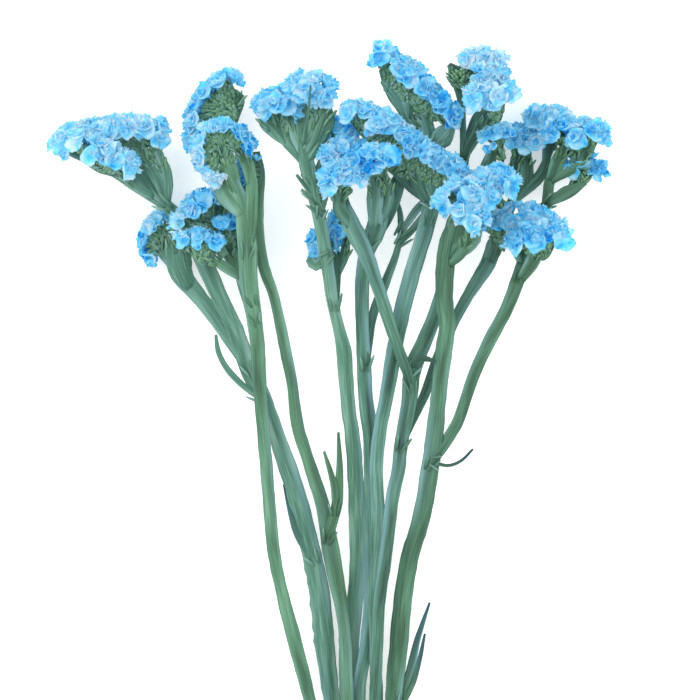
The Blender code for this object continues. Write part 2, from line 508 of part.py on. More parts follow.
def spread_places(root, axis, length, radius):
    """Points on a calyx's wall, used to see what it would cross."""
    side = axis.orthogonal().normalized()
    other = axis.cross(side)
    places = [root + axis * length, root + axis * length * 0.6]
    for share in (0.45, 0.75, 1.0):
        for i in range(PLACES_ROUND):
            angle = 2 * math.pi * i / PLACES_ROUND
            out = side * math.cos(angle) + other * math.sin(angle)
            places.append(root + axis * length * share + out * radius * share)
    return places


def join(node, meshes, material):
    """One solid from a node's overlapping meshes."""
    base = bpy.data.objects.new(node, meshes[0])
    bpy.context.scene.collection.objects.link(base)
    helpers = bpy.data.collections.new(node + "_pieces")
    bpy.context.scene.collection.children.link(helpers)
    for mesh in meshes[1:]:
        helpers.objects.link(bpy.data.objects.new(mesh.name, mesh))
    union = base.modifiers.new("Join", "BOOLEAN")
    union.operation = "UNION"
    union.operand_type = "COLLECTION"
    union.collection = helpers
    graph = bpy.context.evaluated_depsgraph_get()
    joined = bpy.data.meshes.new_from_object(base.evaluated_get(graph))
    base.modifiers.clear()
    base.data = joined
    for helper in list(helpers.objects):
        bpy.data.objects.remove(helper)
    bpy.data.collections.remove(helpers)
    keep_outer_body(joined)
    joined.name = node
    joined.materials.clear()
    joined.materials.append(material)
    joined.shade_smooth()
    joined.set_sharp_from_angle(angle=SHARP_ANGLE)
    return base


def keep_outer_body(mesh):
    """Drops loose scraps and the walls of sealed hollows: only the largest connected surface stays."""
    shape = bmesh.new()
    shape.from_mesh(mesh)
    bmesh.ops.triangulate(shape, faces=shape.faces)
    left = set(shape.verts)
    largest = set()
    while left:
        found = {left.pop()}
        edge = set(found)
        while edge:
            edge = {e.other_vert(v) for v in edge for e in v.link_edges} - found
            found |= edge
        left -= found
        if len(found) > len(largest):
            largest = found
    bmesh.ops.delete(shape, geom=[v for v in shape.verts if v not in largest], context="VERTS")
    shape.to_mesh(mesh)
    shape.free()


def rib_route(first, spike, share):
    end = spike.rachis_centre(spike.lengths[-1] * share)
    return first + [(end.x, end.y, end.z, RIB_END_WIDTH)]


def stem_routes(spikes):
    """Every smooth route of each stem: the stem, its branches, its leaves and its ribs."""
    routes = {}
    for node, lists in STEMS.items():
        routes[node] = [smooth_route(points, STEM_STEP if i == 0 else BRANCH_STEP)
                        for i, points in enumerate(lists)]
    for node, first, spike, share in RIBS:
        routes[node].append(smooth_route(rib_route(first, spikes[spike], share), RIB_STEP))
    return routes


def green_pieces(node, routes, spikes, bracts):
    """The meshes of one stem: its routes, the axes of its spikes and the bracts on them."""
    pieces = []
    for k, samples in enumerate(routes):
        centres = [Vector(s[:3]) for s in samples]
        rings = [stem_section(centre, along, row[3], k == 0)
                 for centre, along, row in zip(centres, tangents(centres), samples)]
        pieces.append(loft(f"{node}_route_{k}", rings))
    pieces += [comb_mesh(spike, bracts[spike.name]) for spike in spikes]
    return pieces


def place_bracts(spike, crowd):
    """How far the left and right bracts reach at each place along the spike: short where they would cross."""
    chance = random.Random(f"{SEED} bracts {spike.name}")
    count = max(1, round(spike.lengths[-1] / BRACT_SPACING))
    reaches = [(BRACT_SHORTEST, BRACT_SHORTEST)]
    for k in range(count):
        place, along, out = spike.at(spike.lengths[-1] * (2 * k + 1) / (2 * count))
        across = along.cross(out)
        pair = []
        for side in (-1, 1):
            reach = spike.bract * chance.uniform(BRACT_LEAST, BRACT_MOST)
            root = place - out * GAP / 2
            places = [bract_tip(root, along, out, across, side, reach * share) for share in (0.6, 0.8, 1.0)]
            blocked = any(crowd.in_box(p, spike.stem) or crowd.in_cone(p, spike.stem) for p in places)
            pair.append(BRACT_SHORTEST if blocked else reach)
            if pair[-1] == reach:
                axis = (places[-1] - root).normalized()
                crowd.add_cone(spike.stem, root, axis, reach, BRACT_TIP_RADIUS, places)
        reaches += [tuple(pair), tuple(max(BRACT_SHORTEST, reach * BRACT_VALLEY) for reach in pair)]
    reaches[-1] = reaches[0]
    return reaches


def calyx_roots(spike):
    """Where the calyces stand and how they lean: two rows, with the end ones turned outwards."""
    foot = GAP / 2 + CORE_LIFT + CORE_RADIUS * spike.size * CALYX_FOOT_DEPTH
    usable = spike.lengths[-1] - 2 * CALYX_INSET
    count = max(2, round(spike.lengths[-1] / (CALYX_SPACING * spike.size)))
    for k in range(count + 1):
        for side in (-1, 1):
            share = min(max((k + ROW_STAGGER * side) / count, 0), 1)
            place, along, out = spike.at(CALYX_INSET + usable * share)
            lean = CALYX_LEAN
            if k == 0:
                lean -= CALYX_END_LEAN
            if k == count:
                lean += CALYX_END_LEAN
            yield place + out * foot, along, out, side * CALYX_SPREAD, lean


def place_calyces(spike, crowd):
    """Root, direction, length, radius and turn of each calyx. One that would cross a piece leans aside."""
    chance = random.Random(f"{SEED} calyces {spike.name}")
    found = []
    for root, along, out, spread, lean in calyx_roots(spike):
        across = along.cross(out)
        for attempt in range(CALYX_TRIES):
            loose = CALYX_LOOSENESS + LOOSER * attempt
            angle = spread + chance.uniform(-loose, loose)
            tilt = lean + chance.uniform(-loose, loose)
            axis = (out * math.cos(angle) + across * math.sin(angle) + along * tilt).normalized()
            size = spike.size * chance.uniform(1 - CALYX_VARIATION, 1 + CALYX_VARIATION)
            size *= 1 - SMALLER * attempt
            length = CALYX_LENGTH * size
            radius = CALYX_RADIUS * size
            places = spread_places(root, axis, length, radius)
            if crowd.crosses(spike.name, root, axis, length, radius, places):
                continue
            crowd.add_cone(spike.name, root, axis, length, radius, places)
            found.append((root, axis, length, radius, chance.uniform(0, math.pi)))
            break
    return found


def blue_pieces(spike, calyces):
    """The slim core of one spike and the calyces that stand out of it."""
    radius = CORE_RADIUS * spike.size
    offset = GAP / 2 + CORE_LIFT + radius
    pieces = [spike.tube(spike.name + "_core", offset, radius, CORE_SIDES, CORE_INSET)]
    for k, shape in enumerate(calyces):
        pieces.append(calyx_mesh(f"{spike.name}_calyx_{k}", *shape))
    return pieces


def rounded_outline(half_x, half_z, corner):
    """Points round an upright rectangle with rounded corners."""
    outline = []
    for x_sign, z_sign, first in ((1, 1, 0), (-1, 1, 90), (-1, -1, 180), (1, -1, 270)):
        for step in range(TIE_CORNER_STEPS + 1):
            angle = math.radians(first + 90 * step / TIE_CORNER_STEPS)
            outline.append((x_sign * (half_x - corner) + corner * math.cos(angle),
                            z_sign * (half_z - corner) + corner * math.sin(angle)))
    return outline


def tie_mesh():
    """A flat elastic band around the stems, with a straight underside on the table."""
    middle = (TIE_TOP + TIE_BOTTOM) / 2
    half_z = (TIE_TOP - TIE_BOTTOM) / 2
    outer = rounded_outline(TIE_INNER_X + TIE_WALL, half_z, TIE_CORNER + TIE_WALL)
    inner = rounded_outline(TIE_INNER_X, half_z - TIE_WALL, TIE_CORNER)
    points = []
    for outline, y in ((inner, -TIE_LENGTH / 2), (inner, TIE_LENGTH / 2), (outer, TIE_LENGTH / 2),
                       (outer, -TIE_LENGTH / 2)):
        points += [Vector((x, y, middle + z)) for x, z in outline]
    count = len(outer)
    faces = []
    for ring in range(4):
        here, there = ring * count, (ring + 1) % 4 * count
        for i in range(count):
            j = (i + 1) % count
            faces.append((here + i, here + j, there + j, there + i))
    return closed_mesh("tie", points, faces)


def centre_bunch(objects):
    """Puts the middle of the bunch over the origin and its lowest point on the table."""
    points = [v.co for thing in objects for v in thing.data.vertices]
    low = [min(p[axis] for p in points) for axis in range(3)]
    high = [max(p[axis] for p in points) for axis in range(3)]
    shift = Matrix.Translation((-(low[0] + high[0]) / 2, -(low[1] + high[1]) / 2, -low[2]))
    for thing in objects:
        thing.data.transform(shift)


def main():
    clear_scene()
    green = make_material("dried green stem", (0.075, 0.2, 0.115), 0.75)
    blue = make_material("papery blue calyx", (0.19, 0.52, 0.9), 0.8)
    elastic = make_material("natural rubber band", (0.5, 0.36, 0.2), 0.6)
    spikes = {row[0]: Spike(*row) for row in SPIKES}
    routes = stem_routes(spikes)
    crowd = Crowd()
    for node, lists in routes.items():
        for samples in lists:
            crowd.add_route(node, samples)
    calyces = {name: place_calyces(spike, crowd) for name, spike in spikes.items()}
    bracts = {name: place_bracts(spike, crowd) for name, spike in spikes.items()}
    bunch = []
    for node in STEMS:
        own = [spike for spike in spikes.values() if spike.stem == node]
        bunch.append(join(node, green_pieces(node, routes[node], own, bracts), green))
    for name, spike in spikes.items():
        bunch.append(join(name, blue_pieces(spike, calyces[name]), blue))
    bunch.append(join("tie", [tie_mesh()], elastic))
    centre_bunch(bunch)


main()
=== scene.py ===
"""The look of a bunch of dried statice: winged stems, scaly bracts and ruffled papery calyces.

The lists are in millimetres in the tie's frame: x right, y up the stems from the tie, z above the table.
They are the lists of the solid model, so each fine piece lies where its solid lies.
"""

import json
import math

import bpy
import numpy as np
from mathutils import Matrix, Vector

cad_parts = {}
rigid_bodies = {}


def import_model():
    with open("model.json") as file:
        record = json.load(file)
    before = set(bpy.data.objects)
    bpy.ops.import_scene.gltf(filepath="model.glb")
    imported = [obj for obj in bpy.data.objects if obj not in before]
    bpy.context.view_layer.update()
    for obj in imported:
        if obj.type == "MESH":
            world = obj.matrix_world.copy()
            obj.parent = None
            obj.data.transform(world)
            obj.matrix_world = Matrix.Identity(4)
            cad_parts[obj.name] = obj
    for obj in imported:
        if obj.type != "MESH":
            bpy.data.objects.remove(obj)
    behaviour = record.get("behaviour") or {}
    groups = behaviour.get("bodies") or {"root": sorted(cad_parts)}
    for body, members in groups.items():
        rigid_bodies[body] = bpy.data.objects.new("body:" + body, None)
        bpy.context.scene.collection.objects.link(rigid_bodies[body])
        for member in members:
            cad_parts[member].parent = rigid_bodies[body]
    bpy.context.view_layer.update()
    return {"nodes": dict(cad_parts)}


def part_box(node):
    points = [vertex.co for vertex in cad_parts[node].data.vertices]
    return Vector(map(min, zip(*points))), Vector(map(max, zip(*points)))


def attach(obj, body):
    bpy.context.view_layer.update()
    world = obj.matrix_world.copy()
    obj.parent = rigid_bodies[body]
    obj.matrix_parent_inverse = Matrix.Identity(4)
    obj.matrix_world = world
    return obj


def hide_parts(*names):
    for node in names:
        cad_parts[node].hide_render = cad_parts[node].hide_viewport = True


for old in list(bpy.data.objects):
    bpy.data.objects.remove(old)
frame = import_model()
TIE_LOW, TIE_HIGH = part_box("tie")
ORIGIN = np.array(((TIE_LOW.x + TIE_HIGH.x) / 2, (TIE_LOW.y + TIE_HIGH.y) / 2, 0.0))

MM = 0.001
SEED = 11
TABLE_CLEARANCE = 0.2
UP = np.array((0.0, 0.0, 1.0))
FULL_TURN = 2 * math.pi

# Camera, floor and light. A pixel of the photo is 0.42 mm at the middle of the bunch.
PIXEL = 0.42
PHOTO_WIDTH = 700
PHOTO_CENTRE = (-7.6, 222.6, 30.0)
CAMERA_HEIGHT = 3.0
SENSOR = 36.0
FLOOR_REACH = 4.0
FLOOR_DROP = 0.0003
FLOOR_WHITE = 0.97
FLOOR_GLOW = 0.3
SKY_STRENGTH = 1.19
LIGHTS_AIM = (0, 0.05, 0)
LIGHTS = {"key": ((-0.9, 0.9, 1.6), 1.2, 18), "fill": ((1.3, -0.5, 1.4), 1.6, 6)}

# Stems. A pair is how far apart the random values of something wavy lie, and how large they are.
STEM_STEP = 3.0
BRANCH_STEP = 2.5
AXIS_STEP = 1.5
STEM_FLATNESS = 0.42
THICKEST_STEM = 3.4
SLIMMEST_RIDGE = 0.42
EDGE_THICKNESS = 0.6
RIDGE_SHARE = 0.36
RIDGE_RELIEF = 0.08
RIDGE_WAVES = 17
TWIST = (34, 0.22)
SLOW_WING = (24, 0.12)
RAGGED_WING = (3.4, 0.05)
CUP = (16, 0.16)
WARP = (9, 0.12)
TOOTH_DEPTH = 0.16
TOOTH_WAVES = 1.25
EDGE_TIP = 0.35
DUSK_POWER = 1.5
STEM_SHADE = 0.25
RIB_END_WIDTH = 2.4
SLIM_WING = 2.5

# Bracts. A pair is the smallest and the largest of a random size.
BRACT_SPACING = 1.4
BRACT_LAYER = 1.5
BRACT_COVER = 4.2
BRACT_SLANT = 0.35
BRACT_REACH = 0.78
BRACT_LENGTH = (2.2, 3.6)
BRACT_WIDTH = (1.4, 2.2)
BRACT_FRESH = (0.2, 1.2)
RIB_BARE = 0.45
RIB_BRACT_SPACING = 1.3
RIB_BRACT_LENGTH = (2.8, 4.6)
RIB_BRACT_WIDTH = (1.2, 1.9)
NODE_BRACT_LENGTH = (6, 9)
NODE_BRACT_WIDTH = (2.0, 2.8)
AXIS_WIDTH = 1.7
CORE_HALF = 1.7
CORE_ABOVE = 1.6
CORE_FRESH = 0.7
CORE_BELLY = 0.6
BUD_BRACTS = 90
BUD_BRACT_LENGTH = (0.4, 0.6)
BUD_BRACT_WIDTH = (0.28, 0.4)
GOLDEN_ANGLE = math.radians(137.5)

# Calyces
GAP = 0.3
AXIS_DEPTH = 1.1
LINE_STEP = 1.0
CALYX_SPACING = 3.7
MIDDLE_SPACING = 1.15
SMALL_SPIKE = 0.9
CALYX_LENGTH = 9.2
CALYX_RADIUS = 4.9
CALYX_SPREAD = math.radians(42)
CALYX_WOBBLE = 0.28
CALYX_FOOT = -0.6
CALYX_LEAN = 0.05
CALYX_END_LEAN = 0.5
CALYX_SIZE = (0.84, 1.05)
CROWDED_SIZE = 0.72
PROBE_REACH = 3
CALYX_AROUND = 32
SCRAPS = 2
SCRAP_AROUND = 16
SCRAP_SIZE = (0.36, 0.62)
SCRAP_LEAN = 0.32
SQUEEZE = (0.75, 1.0)
SHEET = 0.15

# Colours, linear
STEM_DARK = (0.02, 0.062, 0.046)
STEM_MID = (0.07, 0.19, 0.143)
STEM_LIGHT = (0.25, 0.41, 0.36)
STEM_FRESH = (0.16, 0.34, 0.12)
STEM_DUSK = (0.008, 0.05, 0.1)
STEM_COOL = (0.17, 0.32, 0.38)
BRACT_TIP = (0.3, 0.46, 0.27)
BLUE_DEEP = (0.01, 0.42, 0.85)
BLUE_BASE = (0.23, 0.78, 1.0)
BLUE_PALE = (0.47, 0.86, 1.0)
BLUE_WHITE = (0.8, 0.92, 1.0)
THROAT = (0.14, 0.6, 0.66)
RUBBER_DARK = (0.36, 0.24, 0.12)
RUBBER_LIGHT = (0.55, 0.41, 0.25)
LIGHT_THROUGH = 0.6
# Painted light: the calyces glow faintly in their own colour, which brightens them beyond what the lamps give
PAINTED_PETAL_GLOW = 0.06

# One list for each stem that was cut: its own route first, then its branches and leaves.
# A point is x, y, z and the width across the wings.
STEMS = {"stem_1": [
    [(-13, -65, 11, 4.4), (-10, -29, 10.5, 4.6), (-7, 0, 10.5, 4.8), (-15, 34, 10.5, 5.2), (-25, 76, 12, 5.6),
     (-35, 115, 18, 5.8), (-40, 139, 23, 5.8), (-42, 164, 28, 5.6), (-44, 189, 31, 5.6), (-45.5, 206, 33, 6),
     (-47, 231, 34, 6.5), (-50, 252, 35, 7.6), (-51, 271, 36, 8), (-53, 284, 37, 6.5), (-56, 294, 38, 3)],
    [(-47, 235, 34, 4), (-51, 244, 28, 4.5), (-55, 260, 18, 5), (-59, 277, 14, 5), (-61, 294, 14, 5.5),
     (-63, 307, 15, 5)],
    [(-48.5, 243, 34, 4), (-54, 256, 28, 6), (-60, 266, 22, 6), (-66, 276, 20, 4)],
    [(-51, 262, 35, 4), (-49, 276, 37, 5.5), (-48.5, 290, 38, 5.5), (-49.5, 302, 39, 3.5)],
], "stem_2": [
    [(-7, -66, 5, 4.6), (-6.5, -29, 4.8, 4.8), (-7, 0, 4.6, 5), (-10, 34, 4.8, 6), (-15.5, 76, 5, 7.4),
     (-18, 97, 7, 8), (-21, 122, 9, 8), (-28, 153, 14, 7.6), (-35, 176, 19, 7.6), (-43, 200, 24, 7),
     (-50, 214, 24, 7), (-56, 231, 23, 7.2), (-64, 248, 22, 7), (-71, 263, 21, 7), (-79, 277, 20, 6.4),
     (-85, 284, 20, 5)],
    [(-50, 214, 24, 4), (-61, 231, 18, 6.5), (-73, 247, 12, 7), (-80, 255, 9, 7.5), (-84, 261, 8, 4)],
    [(-85, 283, 20, 4), (-97, 291, 19, 4.5), (-106, 297, 19, 4), (-113, 301, 19, 4), (-123, 305, 19, 4),
     (-130, 308, 19, 2)],
    [(-23, 134, 11, 2), (-28.5, 142, 12.5, 2.8), (-32, 151, 14, 2.4), (-35.5, 166, 15, 1)],
    [(-64, 229, 26, 1.2), (-63, 222, 25, 2.2), (-59.5, 215, 24, 2.6), (-53, 208, 24, 3), (-45, 202, 24, 2.4)],
], "stem_3": [
    [(-5, -62, 16, 4.4), (-2, -29, 15.5, 4.6), (-7, 0, 16.4, 4.8), (-6, 34, 16.4, 5), (-9, 76, 15, 6),
     (-10, 105, 14.5, 6), (-13.5, 126, 15, 6.4), (-16, 139, 16, 7), (-19.5, 157, 18, 6), (-26, 178, 20, 5.6),
     (-30, 191, 21, 5.4), (-32, 208, 22, 4.6), (-35, 223, 23, 4.6), (-39, 244, 24, 4.6), (-44, 258, 25, 5),
     (-46.5, 271, 26, 5.6), (-47, 285, 27, 6), (-46.5, 298, 27, 5.6), (-47, 306, 27, 3)],
    [(-17, 143, 17, 4), (-13, 158, 21, 5), (-12, 172, 24, 3.4), (-12.5, 188, 25, 1.2)],
    [(-14, 155, 20, 3), (-14.5, 166, 24, 3), (-18.5, 180, 25, 1)],
], "stem_4": [
    [(2, -64, 5, 4.4), (0.5, -29, 4.8, 4.6), (0, 0, 4.6, 4.8), (-4, 34, 4.8, 5.4), (-7.5, 76, 6, 6.4),
     (-7, 101, 7, 6.6), (-6, 113, 8, 6.8), (-4.5, 134, 11, 7), (-5, 160, 18, 7), (-6.5, 185, 24, 6.8),
     (-8, 197, 26, 6.6), (-9, 210, 28, 6.4), (-10, 223, 30, 6.4), (-12, 231, 31, 4.8), (-15, 244, 33, 4.8),
     (-18, 265, 35, 6), (-22, 286, 37, 6.4), (-25.5, 300, 38, 7), (-27, 311, 38, 4)],
    [(-17, 262, 35, 3), (-22, 258, 32, 5), (-25, 261, 29, 3)],
    [(-14, 241, 33, 3), (-13.5, 254, 27, 4), (-13.5, 264, 23.5, 3)],
    [(-24, 294, 37, 2.4), (-29, 303, 36, 2.2), (-35, 312, 35, 2.2), (-40, 319, 35, 2)],
    [(-22, 286, 37, 2), (-26, 291, 38, 2.2), (-30, 296, 39, 1.2)],
    [(-20, 281, 36, 2), (-24, 286, 36, 2), (-28, 290, 36, 1.2)],
    [(-20, 279, 36, 2), (-18.5, 284, 38, 2.2), (-17, 288, 39, 1.2)],
], "stem_5": [
    [(6, -60, 11, 4.4), (3, -29, 10.6, 4.6), (0, 0, 10.5, 4.8), (-2, 34, 10.6, 5), (-4, 76, 12, 5.4),
     (-1, 97, 13.5, 5.6), (1, 118, 15.5, 6), (1.5, 151, 20, 6.2), (1, 185, 25, 6.2), (-1, 202, 28, 6),
     (-2.5, 231, 31, 5.8), (-2.5, 248, 33, 6), (-1, 262, 35, 6.6), (3.5, 275, 37, 9), (6, 285, 39, 6)],
    [(-1, 216, 30, 3), (2, 237, 30, 3.6), (7, 250, 29, 4), (13, 267, 28, 3), (13.5, 279, 28, 2.6),
     (12, 286, 28, 1.4)],
    [(13.5, 272, 28, 2.4), (20, 281, 28, 3.4), (26, 288, 28, 1.6)],
    [(13.5, 268, 28, 2.4), (20, 275, 27, 3.2), (26, 284, 27, 1.6)],
    [(0, 266, 35, 4), (6.5, 277, 34, 6.5), (11, 289, 33, 7), (15, 300, 32, 3)],
], "stem_6": [
    [(11, -63, 5, 4.4), (8, -29, 4.8, 4.6), (7, 0, 4.6, 4.8), (6, 34, 5, 5), (4, 76, 8.6, 5.2),
     (3, 97, 16.5, 5.4), (2.5, 118, 21.5, 5.6), (3.5, 134, 23.5, 5.8), (4.2, 151, 26, 5.8),
     (3.5, 172, 29.5, 5.8), (5, 189, 32, 6), (7.5, 202, 33, 6.4), (11.5, 225, 34, 6.6), (15.5, 244, 35, 6.6),
     (20, 260, 36, 6.8), (24, 273, 37, 7), (26.5, 285, 38, 7), (26, 294, 38, 4)],
    [(25, 277, 37, 4), (27, 291, 31, 5), (28, 304, 28, 6), (26, 315, 27, 3)],
    [(28, 300, 29, 3), (22, 310, 27, 4), (17, 319, 27, 4.6), (12, 328, 27, 5), (6, 336, 27, 2.4)],
    [(27, 308, 28, 4), (31, 312, 28, 9), (36, 318, 28, 3)],
    [(26, 284, 38, 3), (17, 293, 36, 6), (9, 303, 36, 6), (2, 312, 37, 3)],
], "stem_7": [
    [(4, -58, 16.5, 4.4), (3, -29, 16.4, 4.6), (0, 0, 16.4, 4.8), (1, 34, 16.6, 5), (3, 76, 20, 5.2),
     (4, 97, 23, 5.2), (5, 118, 27, 5.4), (7, 134, 30, 5.6), (10, 160, 31, 5.8), (12.5, 172, 31, 6),
     (14, 185, 32, 6), (17, 200, 33, 6.2), (18.5, 214, 33, 7), (24, 227, 31, 6), (29.5, 241, 29, 6),
     (33.5, 258, 27, 6), (36.5, 275, 24, 6), (38, 290, 22, 6.4), (40, 303, 21, 5)],
    [(18.5, 206, 33, 4), (16.8, 213, 35, 4.4), (13, 222, 39.5, 5), (8.5, 235, 43, 5.6), (3, 252, 44, 6),
     (-1.5, 264, 45, 7), (-6.5, 274, 46, 8), (-10.5, 284, 46, 5)],
    [(13.5, 182, 32, 3), (18.5, 193, 28, 4), (24, 204, 26, 4.2), (29, 218, 25, 4.4), (34.5, 231, 24, 4.4),
     (38.5, 239, 24, 4.6), (45, 250, 23, 5.6), (50.5, 259, 22, 6.6), (53, 267, 20, 6), (57, 276, 16, 5),
     (61.5, 286, 12, 5), (67, 291, 10, 5.4), (73, 297, 9, 5), (76, 305, 9, 3)],
    [(40, 302, 21, 3), (40, 314, 22, 3), (39.5, 326, 22, 3.4), (39, 333, 22, 6), (38, 338, 22, 8),
     (34, 343, 22, 2)],
    [(38, 280, 23, 3), (42, 286, 22, 3.4), (47, 293, 21, 4), (50.5, 300, 21, 6.5), (52, 306, 22, 4)],
    [(18, 213, 33, 3), (21.5, 219, 35, 3.4), (28, 218, 37, 1.2)],
], "stem_8": [
    [(15, -55, 11, 4.6), (9.5, -29, 10.6, 4.8), (7, 0, 10.5, 5), (8, 34, 11, 6), (11, 76, 12, 7),
     (13, 97, 13, 7.6), (14, 113, 15, 8), (17.5, 134, 20, 8.2), (22, 151, 24, 8), (25, 168, 27, 7.8),
     (27.5, 185, 30, 7.6), (29.5, 202, 33, 7.4), (31.5, 222, 36, 7.2), (33, 234, 38, 7), (32, 242, 40, 7.6),
     (32.5, 258, 43, 8), (34, 268, 45, 8), (35, 274, 47, 5)],
    [(26, 174, 28, 4), (30.5, 181, 29, 5), (37, 191, 30, 5.2), (41, 202, 31, 5.4), (45, 214, 33, 5.4),
     (51, 227, 34, 5.6), (57.5, 239, 35, 5.6), (62, 250, 36, 5.8), (65, 259, 37, 5)],
    [(63, 253, 36, 3.4), (69, 268, 27, 4), (75, 282, 17, 4.4), (76.5, 292, 14, 4.6), (78.5, 301, 13, 3)],
    [(75.5, 284, 17, 2.4), (84, 289, 17, 6), (92, 293, 17, 1.6)],
    [(26.5, 176, 28, 2), (33, 174, 31, 1.6), (39, 176, 32, 1.4), (44, 181, 33, 1)],
    [(14, 74, 12, 3), (18, 88, 13, 3.4), (21, 101, 14, 2.6), (26, 116, 15, 1)],
    [(14, 72, 12, 2.4), (19, 82, 16, 2.4), (22, 93, 18, 2), (24, 103, 18, 1)],
]}

